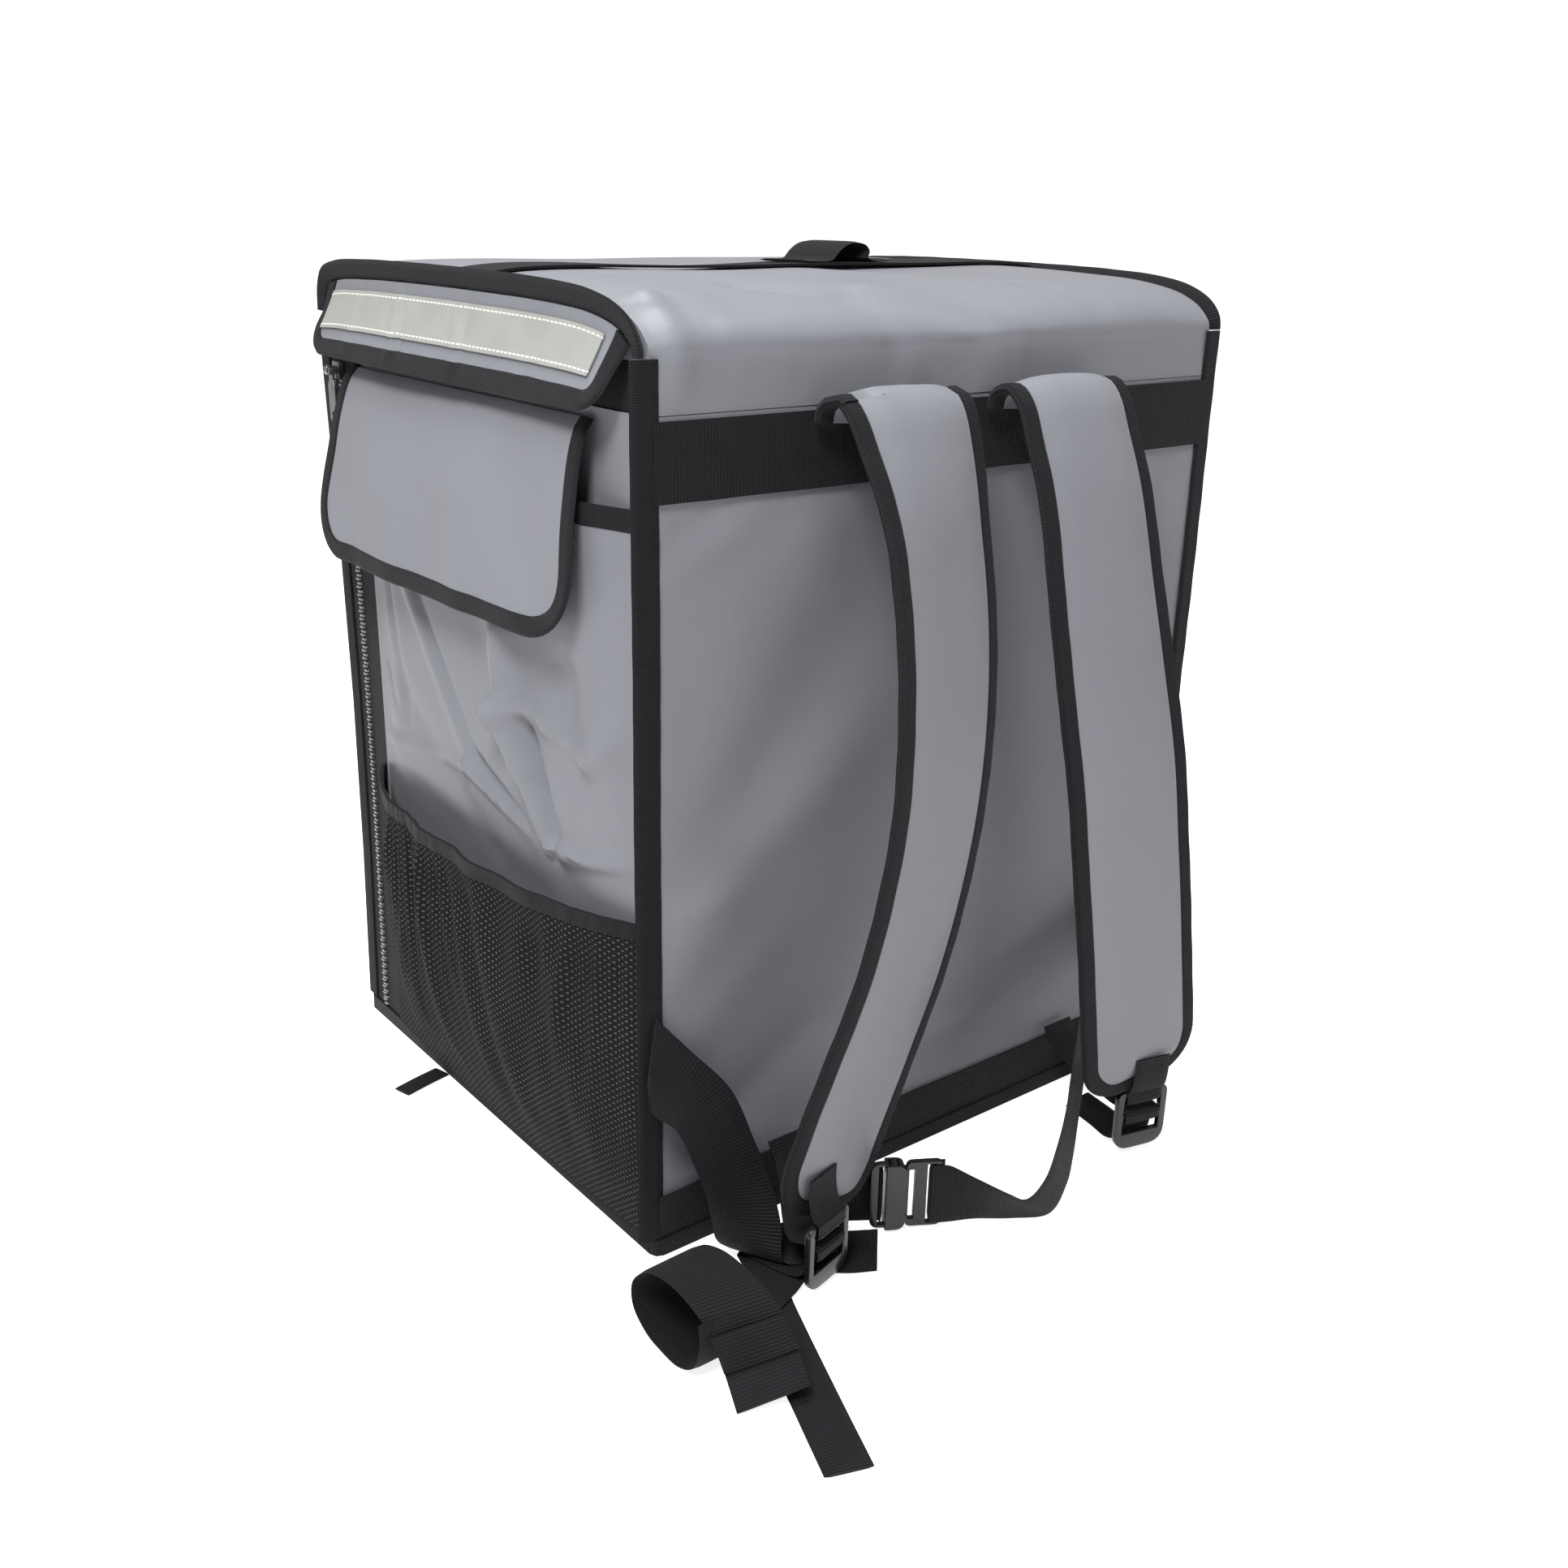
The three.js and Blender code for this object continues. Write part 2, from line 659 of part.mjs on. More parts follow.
// A closed body through rings of a bent section, whose caps join its outer and inner sides
function bentSkin(rings) {
  const count = rings[0].length;
  const index = [];
  for (let row = 0; row + 1 < rings.length; row++) {
    for (let i = 0; i < count; i++) {
      const a = row * count + i;
      const b = row * count + ((i + 1) % count);
      index.push(a, b, a + count, b, b + count, a + count);
    }
  }
  const last = (rings.length - 1) * count;
  for (let i = 0; i + 1 < count / 2; i++) {
    const [a, b, c, d] = [i, i + 1, count - 2 - i, count - 1 - i];
    index.push(a, c, b, a, d, c);
    index.push(last + a, last + b, last + c, last + a, last + c, last + d);
  }
  return outwardGeometry(rings.flat(), index);
}

// A ring of binding round the foot of the bag
function baseBinding() {
  const outline = (z, off) => bodyOutline(z, off, 4, 2);
  const loops = [
    outline(FLOOR_CLEAR, GAP),
    outline(FLOOR_CLEAR, GAP + BINDING_THICKNESS),
    outline(BINDING_WIDTH, GAP + BINDING_THICKNESS),
    outline(BINDING_WIDTH, GAP),
  ];
  const count = loops[0].length;
  const index = [];
  loops.forEach((loop, row) => {
    const next = (row + 1) % loops.length;
    for (let i = 0; i < count; i++) {
      const j = (i + 1) % count;
      const [a, b] = [row * count + i, row * count + j];
      const [c, d] = [next * count + i, next * count + j];
      index.push(a, b, c, b, d, c);
    }
  });
  return outwardGeometry(loops.flat(), index);
}

// A flat band of webbing across the strap panel
function panelBand(bottom, top) {
  const reach = HALF_WIDTH - CORNER_RADIUS - GAP;
  const rows = [bottom, top].map((z) => {
    const row = [];
    for (let j = 0; j <= 10; j++) row.push(new THREE.Vector2(lerp(-reach, reach, j / 10), z));
    return row;
  });
  const surface = (x, z) => backPoint(x, z, 0);
  return sheetOn(surface, point(0, -1, 0), rows, () => GAP, () => GAP + WEBBING_THICKNESS);
}

// The zip tape that closes the lid on its two sides and front
function lidZip() {
  const inset = 1;
  const tape = 2.4;
  const start = -(HALF_DEPTH - WALL - 2 * GAP);
  const path = [];
  const x = HALF_WIDTH - CORNER_RADIUS;
  const y = HALF_DEPTH - CORNER_RADIUS;
  for (let i = 0; i <= 6; i++) path.push([-1, 0, -(x + CORNER_RADIUS), lerp(start, y, i / 6)]);
  for (let i = 1; i <= 3; i++) {
    const angle = Math.PI - (Math.PI / 2) * (i / 3);
    const [c, s] = [Math.cos(angle), Math.sin(angle)];
    path.push([c, s, -x + CORNER_RADIUS * c, y + CORNER_RADIUS * s]);
  }
  const mirrored = path.map(([nx, ny, px, py]) => [-nx, ny, -px, py]).reverse();
  const whole = [...path, ...mirrored];
  return skin(whole.map(([nx, ny, px, py]) => {
    const at = (off, z) => point(px + nx * off, py + ny * off, z);
    const [low, high] = [BODY_HEIGHT + GAP, LID_BASE - GAP];
    return [at(-inset, low), at(-inset, high), at(-inset - tape, high), at(-inset - tape, low)];
  }));
}

// The loose pocket panel: its distance off the side wall
function foldLift(y, z) {
  let total = 0;
  for (const { from, to, width, lift } of POCKET_FOLDS) {
    const start = new THREE.Vector2(from[0] * HALF_DEPTH, from[1] * POCKET_TOP);
    const end = new THREE.Vector2(to[0] * HALF_DEPTH, to[1] * POCKET_TOP);
    const line = end.clone().sub(start);
    const here = new THREE.Vector2(y, z).sub(start);
    const share = THREE.MathUtils.clamp(here.dot(line) / line.lengthSq(), 0, 1);
    total += lift * bell(here.sub(line.multiplyScalar(share)).length(), width * HALF_DEPTH);
  }
  return total;
}

const POCKET_NEAR = -(HALF_DEPTH - CORNER_RADIUS - GAP);
const POCKET_FAR = HALF_DEPTH - ZIP_TAPE_WIDTH;
const POCKET_COLUMNS = 14;

function pocketOff(y, z) {
  const across = THREE.MathUtils.clamp((y - POCKET_NEAR) / (POCKET_FAR - POCKET_NEAR), 0, 1);
  const up = THREE.MathUtils.clamp((z - POCKET_FOOT) / (POCKET_TOP - POCKET_FOOT), 0, 1);
  const edge = Math.min(1, 6 * across, 6 * (1 - across)) * Math.min(1, 5 * up);
  const smooth = edge * edge * (3 - 2 * edge);
  const above = THREE.MathUtils.smoothstep(z, MESH_TOP - 40, MESH_TOP + 40);
  return GAP + smooth * POCKET_BULGE * lerp(0.35, 0.85 + 0.5 * foldLift(y, z), above);
}

function pocketSurface(y, z) {
  return sidePoint(-1, y, z, pocketOff(y, z));
}

function rectangleGrid(a0, a1, columns, b0, b1, rows) {
  const grid = [];
  for (let i = 0; i <= rows; i++) {
    const row = [];
    for (let j = 0; j <= columns; j++) {
      row.push(new THREE.Vector2(lerp(a0, a1, j / columns), lerp(b0, b1, i / rows)));
    }
    grid.push(row);
  }
  return grid;
}

function meshOff(y, z) {
  const across = (y - POCKET_NEAR) / (POCKET_FAR - POCKET_NEAR);
  const up = THREE.MathUtils.clamp((z - POCKET_FOOT) / (MESH_TOP - POCKET_FOOT), 0, 1);
  const side = Math.sin(Math.PI * THREE.MathUtils.clamp(across, 0, 1)) ** 0.6;
  const height = Math.sin(Math.PI * lerp(0.02, 0.72, up)) ** 0.7;
  const gathers = 1 + 0.06 * Math.sin(across * 34) * up;
  return pocketOff(y, z) + CLOTH + 2 * GAP + MESH_BULGE * side * height * gathers;
}

function sidePockets() {
  const facing = point(-1, 0, 0);
  const panel = rectangleGrid(POCKET_NEAR, POCKET_FAR, POCKET_COLUMNS, POCKET_FOOT, POCKET_TOP, 12);
  add("pocket_panel", sheetOn(pocketSurface, facing, panel, () => 0, () => CLOTH), FABRIC);
  const mouth = rectangleGrid(POCKET_NEAR, POCKET_FAR, POCKET_COLUMNS, POCKET_TOP + GAP,
    POCKET_TOP + BINDING_WIDTH, 1);
  const extra = CLOTH + BOUND_EXTRA / 2;
  add("pocket_mouth_binding", sheetOn(pocketSurface, facing, mouth, () => 0, () => extra), BLACK_FABRIC);
  const net = (y, z) => sidePoint(-1, y, z, meshOff(y, z));
  const netTop = MESH_TOP - ELASTIC_WIDTH;
  const netGrid = rectangleGrid(POCKET_NEAR, POCKET_FAR, POCKET_COLUMNS, POCKET_FOOT, netTop, 6);
  add("mesh_pocket", sheetOn(net, facing, netGrid, () => 0, () => MESH_CLOTH), MESH_FABRIC);
  const elastic = rectangleGrid(POCKET_NEAR, POCKET_FAR, POCKET_COLUMNS, netTop + GAP, MESH_TOP, 1);
  add("mesh_elastic", sheetOn(net, facing, elastic, () => -0.3, () => extra), BLACK_FABRIC);
  const top = BODY_HEIGHT - 6;
  const flap = (y, share) => {
    const t = 1 - share / POCKET_FLAP_DROP;
    const lift = 2.2 + POCKET_FLAP_LIFT * Math.max(t, 0) ** 0.6 + 0.02 * y * Math.max(t, 0);
    return sidePoint(-1, y, top - POCKET_FLAP_DROP * t, lift);
  };
  const far = ZIP_LINE - POCKET_FLAP_CLEAR;
  const near = far - POCKET_FLAP_WIDTH - 6;
  boundFlap("pocket_flap", flap, facing, {
    corners: [[near + 12, POCKET_FLAP_DROP], [near, 0], [far, 0], [far - 10, POCKET_FLAP_DROP]],
    radius: POCKET_FLAP_RADIUS,
    down: 4,
    across: 6,
  });
}

// The upright zip: tape, teeth, slider and hanging puller
function sideZip() {
  const facing = point(-1, 0, 0);
  const surface = (y, z) => sidePoint(-1, y, z, GAP);
  const near = POCKET_FAR + GAP;
  const far = HALF_DEPTH - BINDING_WIDTH + 2 - GAP;
  const foot = POCKET_FOOT;
  const top = BODY_HEIGHT - GAP;
  const tape = rectangleGrid(near, far, 2, foot, top, 8);
  add("side_zip_tape", sheetOn(surface, facing, tape, () => 0, () => CLOTH), BLACK_FABRIC);
  const half = ZIP_TEETH_WIDTH / 2;
  const sliderTop = BODY_HEIGHT - 4;
  const sliderLength = 10;
  const teeth = rectangleGrid(ZIP_LINE - half, ZIP_LINE + half, 1, foot,
    sliderTop - sliderLength - GAP, 8);
  const base = CLOTH + GAP;
  add("side_zip_teeth", sheetOn(surface, facing, teeth, () => base, () => base + ZIP_TEETH_HEIGHT), METAL);
  add("zip_slider", zipSlider(surface(ZIP_LINE, sliderTop - sliderLength / 2), sliderLength), METAL);
  add("zip_puller", zipPuller(surface(ZIP_LINE, sliderTop - sliderLength / 2)), METAL);
}

const SLIDER_HEIGHT = 4;
const BAIL_REACH = 4.2;

function extruded(shape, depth) {
  return new THREE.ExtrudeGeometry(shape, { depth, bevelEnabled: false, curveSegments: 6 });
}

function boxSolid(x0, x1, y0, y1, z0, z1) {
  const box = new THREE.BoxGeometry(x1 - x0, y1 - y0, z1 - z0);
  box.translate((x0 + x1) / 2, (y0 + y1) / 2, (z0 + z1) / 2);
  return toSolid(box);
}

// A cylinder along Y
function pinSolid(radius, length, x, y, z) {
  const pin = new THREE.CylinderGeometry(radius, radius, length, 12);
  pin.translate(x, y, z);
  return toSolid(pin);
}

// The slider's block with two ears that hold the puller's pin
function zipSlider(seat, length) {
  const base = seat.x - CLOTH - GAP;
  const half = 4.5;
  const pinX = base - SLIDER_HEIGHT - BAIL_REACH;
  let solid = boxSolid(base - SLIDER_HEIGHT, base, seat.y - half, seat.y + half,
    seat.z - length / 2, seat.z + length / 2);
  const ear = 1.4;
  for (const side of [-1, 1]) {
    const inner = seat.y + side * (half - ear);
    const outer = seat.y + side * half;
    const [low, high] = [Math.min(inner, outer), Math.max(inner, outer)];
    const cheek = boxSolid(pinX - 2, base - SLIDER_HEIGHT + 1, low, high, seat.z - 2, seat.z + 2);
    solid = solid.add(cheek);
  }
  solid = solid.add(pinSolid(HINGE_PIN_RADIUS, 2 * half - 1, pinX, seat.y, seat.z));
  return toGeometry(solid);
}

// The puller hangs from the pin: an eye, a neck and a blade with a hole
function zipPuller(seat) {
  const base = seat.x - CLOTH - GAP;
  const pinX = base - SLIDER_HEIGHT - BAIL_REACH;
  const eye = HINGE_PIN_RADIUS + HINGE_CLEARANCE;
  const neck = 2.4;
  const outline = new THREE.Shape();
  const rim = eye + 1.3;
  outline.absarc(0, 0, rim, 0, 2 * Math.PI, false);
  const hole = new THREE.Path();
  hole.absarc(0, 0, eye, 0, 2 * Math.PI, true);
  outline.holes.push(hole);
  const ring = extruded(outline, 2 * neck);
  ring.rotateX(Math.PI / 2);
  ring.translate(pinX, seat.y + neck, seat.z);
  const blade = new THREE.Shape();
  const half = PULLER_WIDTH / 2;
  blade.moveTo(-neck, -rim + 0.6);
  blade.lineTo(-neck, -rim - 2.5);
  blade.lineTo(-half, -rim - 6);
  blade.lineTo(-half, -PULLER_LENGTH + half);
  blade.absarc(0, -PULLER_LENGTH + half, half, Math.PI, 2 * Math.PI, false);
  blade.lineTo(half, -rim - 6);
  blade.lineTo(neck, -rim - 2.5);
  blade.lineTo(neck, -rim + 0.6);
  const slot = new THREE.Path();
  slot.absarc(0, -PULLER_LENGTH + half + 1, 2, 0, 2 * Math.PI, true);
  blade.holes.push(slot);
  const plate = extruded(blade, PULLER_THICKNESS);
  plate.rotateX(Math.PI / 2);
  plate.rotateZ(Math.PI / 2);
  plate.translate(pinX + PULLER_THICKNESS / 2, seat.y, seat.z);
  return toGeometry(toSolid(ring).add(toSolid(plate)));
}

// Shoulder straps. Places of the middle line: distance aside, distance off the panel and height,
// chosen from how the straps hang; they follow the strap panel's height
const STRAP_PLACES = {
  left: [
    [-66, 7.7, 449], [-66, 9.2, 455], [-66, 15, 459.5], [-65, 22, 460], [-65, 30, 453], [-64, 38, 436],
    [-62, 48, 405], [-59, 57, 350], [-59, 61, 300], [-60, 60, 250], [-69, 60, 202], [-82, 60, 160],
    [-100, 60, 120], [-121, 61, 78], [-139, 62, 37],
  ],
  right: [
    [52, 7.8, 449], [52, 9.3, 455], [52, 15, 459.5], [52, 22, 460], [52, 30, 453], [52, 38, 436],
    [54, 49, 405], [56, 62, 350], [62, 70, 300], [70, 76, 250], [75, 81, 200], [80, 84, 160],
    [84, 87, 120], [90, 88, 80], [96, 87, 47],
  ],
};

// How far each strap is turned about its own line, in degrees, and between which shares of its
// length it turns
const STRAP_TURN = {
  left: { turn: 13, from: 0.02, to: 0.22 },
  right: { turn: -7.5, from: 0.1, to: 0.6 },
};

function strapLine(places) {
  const foot = places[places.length - 1][2];
  const stretch = (BODY_HEIGHT - foot) / (456 - foot);
  const points = places.map(([x, off, z]) => point(x, -HALF_DEPTH - off, foot + (z - foot) * stretch));
  return new THREE.CatmullRomCurve3(points, false, "centripetal");
}

// The middle surface of a strap: a is the distance aside and -b the distance down its length
function strapSurface(side, line, length) {
  const { turn, from, to } = STRAP_TURN[side];
  const cache = new Map();
  const frame = (down) => {
    if (!cache.has(down)) {
      const share = THREE.MathUtils.clamp(down / length, 0, 1);
      const along = line.getTangentAt(share);
      const here = line.getPointAt(share).addScaledVector(along, down - share * length);
      const across = point(1, 0, 0).addScaledVector(along, -along.x).normalize();
      const angle = turn * THREE.MathUtils.smoothstep(share, from, to);
      across.applyAxisAngle(along, -THREE.MathUtils.degToRad(angle));
      cache.set(down, { here, across });
    }
    return cache.get(down);
  };
  return (a, b) => {
    const { here, across } = frame(-b);
    return here.clone().addScaledVector(across, a);
  };
}

function shoulderStrap(side) {
  const line = strapLine(STRAP_PLACES[side]);
  line.arcLengthDivisions = 400;
  const length = line.getLength();
  const surface = strapSurface(side, line, length);
  const half = STRAP_WIDTH / 2;
  const shape = {
    corners: [[-half, 0], [-half, -length], [half, -length], [half, 0]],
    radius: STRAP_CORNER,
    down: 13,
    across: 1,
  };
  const grid = flapGrid(flapOutline(shape, BINDING_WIDTH + GAP));
  const thick = (p) => {
    const edge = half - BINDING_WIDTH;
    const share = THREE.MathUtils.clamp(Math.abs(p.x) / edge, 0, 1);
    return lerp(STRAP_THICKNESS, STRAP_EDGE, share ** 3) / 2;
  };
  const lift = (row, off) => row.map((p) => strapLift(surface, p, off(p)));
  const pad = slab(grid.map((row) => lift(row, thick)), grid.map((row) => lift(row, (p) => -thick(p))));
  add(`strap_${side}`, pad, FABRIC);
  const path = (inset) => {
    const { left, bottom, right } = flapOutline(shape, inset);
    return [...left, ...bottom.slice(1), ...right.slice(0, -1).reverse()];
  };
  const outer = path(0);
  const inner = path(BINDING_WIDTH);
  const edge = STRAP_EDGE / 2;
  const binding = skin(outer.map((p, i) => [
    strapLift(surface, p, -edge),
    strapLift(surface, inner[i], -edge),
    strapLift(surface, inner[i], edge),
    strapLift(surface, p, edge),
  ]));
  add(`strap_${side}_binding`, binding, BLACK_FABRIC);
}

// A point off the strap's middle surface; the strap turns over at its top, so its normal comes
// from the directions along and across it
function strapLift(surface, flat, off) {
  const step = 0.5;
  const across = surface(flat.x + step, flat.y).sub(surface(flat.x - step, flat.y));
  const down = surface(flat.x, flat.y - step).sub(surface(flat.x, flat.y + step));
  return surface(flat.x, flat.y).addScaledVector(across.cross(down).normalize(), -off);
}

// A ladder lock in its own frame: width along X, height along Y, thickness along Z
const TAB_SLOT = [0.1 * LOCK_HEIGHT, 0.33 * LOCK_HEIGHT];
const LOW_SLOT = [-0.24 * LOCK_HEIGHT, 0.1 * LOCK_HEIGHT - LOCK_BAR];

function ladderLock() {
  const half = LOCK_WIDTH / 2;
  const tall = LOCK_HEIGHT / 2;
  const round = 11;
  const outline = new THREE.Shape();
  outline.moveTo(-half, tall - 5);
  outline.lineTo(-half, -tall + round);
  outline.quadraticCurveTo(-half, -tall, -half + round, -tall);
  outline.lineTo(half - round, -tall);
  outline.quadraticCurveTo(half, -tall, half, -tall + round);
  outline.lineTo(half, tall - 5);
  outline.quadraticCurveTo(half, tall, half - 5, tall);
  outline.lineTo(-half + 5, tall);
  outline.quadraticCurveTo(-half, tall, -half, tall - 5);
  const inner = NARROW_WEBBING / 2 + 1;
  for (const [low, high] of [TAB_SLOT, LOW_SLOT]) {
    const slot = new THREE.Path();
    slot.moveTo(-inner, low);
    slot.lineTo(-inner, high);
    slot.lineTo(inner, high);
    slot.lineTo(inner, low);
    outline.holes.push(slot);
  }
  const geometry = extruded(outline, LOCK_THICKNESS);
  geometry.translate(0, 0, -LOCK_THICKNESS / 2);
  return geometry;
}

// Where each ladder lock hangs: its centre as aside, off the panel and up, its turn about the
// upright axis in degrees, and how far the strap's front lies in front of it
const LOCKS = {
  left: { centre: [-141, -75, 24], turn: 15, strapFront: -4.8 },
  right: { centre: [98, -89, 24], turn: -14, strapFront: 5.9 },
};

function lockFrame(side) {
  const { centre, turn } = LOCKS[side];
  const angle = THREE.MathUtils.degToRad(turn);
  const across = point(Math.cos(angle), Math.sin(angle), 0);
  const out = point(Math.sin(angle), -Math.cos(angle), 0);
  const origin = point(centre[0], centre[1] - HALF_DEPTH, centre[2]);
  return { origin, across, out };
}

function lockPlace(side, up, off) {
  const { origin, across, out } = lockFrame(side);
  const at = origin.clone().addScaledVector(out, off);
  at.z += up;
  return { at: at.toArray(), across: across.toArray() };
}

const WRAP = LOCK_THICKNESS / 2 + WEBBING_THICKNESS / 2 + GAP;

function strapFittings(side) {
  const { origin, across, out } = lockFrame(side);
  const lock = ladderLock();
  lock.applyMatrix4(new THREE.Matrix4().makeBasis(across, point(0, 0, 1), out).setPosition(origin));
  add(`ladder_lock_${side}`, toGeometry(toSolid(lock)), PLASTIC);
  const bar = TAB_SLOT[1];
  const top = LOCK_HEIGHT / 2;
  const front = LOCKS[side].strapFront + WEBBING_THICKNESS / 2 + GAP;
  const tab = [
    lockPlace(side, top + 25, front), lockPlace(side, top + 15, front),
    lockPlace(side, top + 7, lerp(front, WRAP, 0.2)),
    lockPlace(side, top + 2.4, lerp(front, WRAP, 0.55)), lockPlace(side, top + 0.6, WRAP),
    lockPlace(side, bar + 3, WRAP), lockPlace(side, bar - 0.2, WRAP),
    lockPlace(side, bar - 1.8, 0), lockPlace(side, bar - 0.2, -WRAP),
    lockPlace(side, bar + 4.5, -WRAP),
  ];
  add(`strap_${side}_tab`, webbing(tab, NARROW_WEBBING, 3), BLACK_FABRIC);
}

// The adjuster webbing: anchored at the panel's foot, over the lock's middle bar and down behind it
function adjuster(side, anchorX, tail) {
  const top = TAB_SLOT[0];
  const low = top - LOCK_BAR;
  const anchor = point(anchorX, -HALF_DEPTH - 5, 48);
  const places = [
    { at: anchor.toArray(), across: [1, 0, 0] },
    { at: [anchor.x, anchor.y - 8, anchor.z - 10], across: [1, 0, 0] },
    lockPlace(side, top + 1, -16),
    lockPlace(side, top + 2.2, -WRAP - 1.6), lockPlace(side, top + 1.7, 0),
    lockPlace(side, top + 0.2, WRAP - 0.2), lockPlace(side, (top + low) / 2, WRAP),
    lockPlace(side, low - 0.2, WRAP - 0.2),
    lockPlace(side, low - 1.7, 0), lockPlace(side, low - 2.6, -WRAP - 0.4),
    ...tail,
  ];
  add(`adjuster_${side}`, webbing(places, NARROW_WEBBING, 3), BLACK_FABRIC);
}

function adjusters() {
  const flat = FLOOR_CLEAR + WEBBING_THICKNESS / 2;
  adjuster("left", -115, [
    { at: [-142, -245, 7], across: [0.97, 0.26, 0] },
    { at: [-145, -237, 5], across: [0.95, 0.3, 0] },
    { at: [-152, -212, 4.9], across: [0.94, 0.34, 0] },
    { at: [-154, -206.5, 4.3], across: [0.94, 0.35, 0] },
    { at: [-154.7, -204.7, 2.9], across: [0.94, 0.35, 0] },
    { at: [-155, -207, 1.5], across: [0.94, 0.35, 0] },
    { at: [-157, -214, flat], across: [0.94, 0.35, 0] },
    { at: [-178, -257, flat], across: [0.93, -0.37, 0] },
    { at: [-204, -326, flat], across: [0.94, -0.36, 0] },
    { at: [-219, -367, flat], across: [0.94, -0.34, 0] },
  ]);
  adjuster("right", 112, [
    { at: [100, -262, 8], across: [0.97, -0.2, 0] },
    { at: [103, -252, 2.6], across: [0.98, -0.15, 0] },
    { at: [108, -234, flat], across: [0.98, 0, 0] },
    { at: [112, -208, flat], across: [0.98, 0.1, 0] },
  ]);
}

// The buckle stands on its long edge; its frame runs along the belt, up and out to the viewer,
// from the socket's free end
const BUCKLE_START = [-90.2, -232, 23.2];
const BUCKLE_ALONG = [0.86, -0.51, 0];

function buckleMatrix() {
  const along = point(...BUCKLE_ALONG).normalize();
  const up = point(0, 0, 1);
  const out = along.clone().cross(up);
  return new THREE.Matrix4().makeBasis(along, up, out).setPosition(point(...BUCKLE_START));
}

function bucklePlace(along, out) {
  return point(along, 0, out).applyMatrix4(buckleMatrix()).toArray();
}

// The waist belt, as places with the direction of its width. The left part folds over at the seam,
// meets the floor, creases and runs on to the buckle. The free tail lies on the floor under it,
// and its end is curled up with a folded hem on top
const BELT = {
  left: [
    { at: [-200, -187.5, 129], across: [9, 3, 47] },
    { at: [-195, -193, 113], across: [28, 2, 30] },
    { at: [-183, -200, 97], across: [38, 0, 12] },
    { at: [-175, -208, 72], across: [40, -3, 3] },
    { at: [-168, -213, 46], across: [38, -14, -3] },
    { at: [-166, -217, 27], across: [31, -26, -3] },
    { at: [-166, -219, 14], across: [24, -36, -1] },
    { at: [-162, -220, 8], across: [20, -38, 0] },
    { at: [-149, -222, 7], across: [7, -38, 0] },
    { at: [-131, -223, 8], across: [-8, -36, 4] },
    { at: [-118, -221, 12], across: [-10, -30, 18] },
    { at: [-107, -222, 20], across: [-4, -14, 34] },
    { at: bucklePlace(-4, -3.3), across: [0, 0, 38] },
    { at: bucklePlace(2, -3.1), across: [0, 0, 38] },
    { at: bucklePlace(5.2, -3), across: [0, 0, 38] },
    { at: bucklePlace(7, -0.5), across: [0, 0, 38] },
  ],
  run: [
    { at: [-204.6, -245, 3], across: [0, -38, 0] },
    { at: [-187, -243, 3], across: [8, -38, 0] },
    { at: [-166, -236, 3], across: [10, -37, 0] },
    { at: [-148, -230, 3], across: [0, -38, 0] },
    { at: [-131, -233, 2.5], across: [-10, -37, 0] },
    { at: [-113, -242, 1.1], across: [-22, -31, 0] },
    { at: [-99, -250, 1.1], across: [-26, -29, 0] },
  ],
  tail: [
    { at: [-224, -280, 38], across: [38, 0, 0] },
    { at: [-224, -281, 24], across: [38, 0, 0] },
    { at: [-224, -275, 9], across: [38, 0, 0] },
    { at: [-224, -262, 1.8], across: [38, 0, 0] },
    { at: [-224, -248, 1.5], across: [38, 0, 0] },
    { at: [-224, -234, 4], across: [38, 0, 0] },
    { at: [-225, -224, 14], across: [38, 0, 0] },
    { at: [-226, -224, 29], across: [38, 0, 1] },
    { at: [-227, -234, 42], across: [38, 0, 1] },
    { at: [-226, -248, 48], across: [38, -3, 1] },
    { at: [-225, -265, 48.5], across: [38, -6, 1] },
    { at: [-222, -281, 41], across: [37, -10, 3] },
    { at: [-218, -290, 28], across: [35, -13, 6] },
    { at: [-217, -297, 16], across: [33.5, -15, 9] },
    { at: [-222, -314, 6.5], across: [34, -14, 9] },
  ],
  right: [
    { at: bucklePlace(43.5, -3.4), across: [0, 0, 38] },
    { at: bucklePlace(38.5, -3.1), across: [0, 0, 38] },
    { at: bucklePlace(35.4, -2.6), across: [0, 0, 38] },
    { at: bucklePlace(34.4, 0), across: [0, 0, 38] },
    { at: bucklePlace(35.4, 2.6), across: [0, 0, 38] },
    { at: bucklePlace(38.5, 3.1), across: [0, 0, 38] },
    { at: bucklePlace(45, 3), across: [-2, 1, 38] },
    { at: [-41, -266, 20], across: [-10, -7, 36] },
    { at: [-27, -282, 17.5], across: [-18, -13, 31] },
    { at: [-12, -288, 14.5], across: [-28, -6, 25] },
    { at: [12, -280, 17], across: [-31, -9, 21] },
    { at: [31, -269, 24], across: [-28, -10, 24] },
    { at: [49, -257, 37], across: [-29, -13, 22] },
    { at: [68, -243, 51], across: [-29, -13, 22] },
    { at: [120, -208, 88], across: [-14, -5, 35] },
    { at: [197, -186, 131], across: [0, 0, 38] },
  ],
};

function beltWebbing(name, places) {
  add(name, webbing(places, WIDE_WEBBING, 2), BLACK_FABRIC);
}

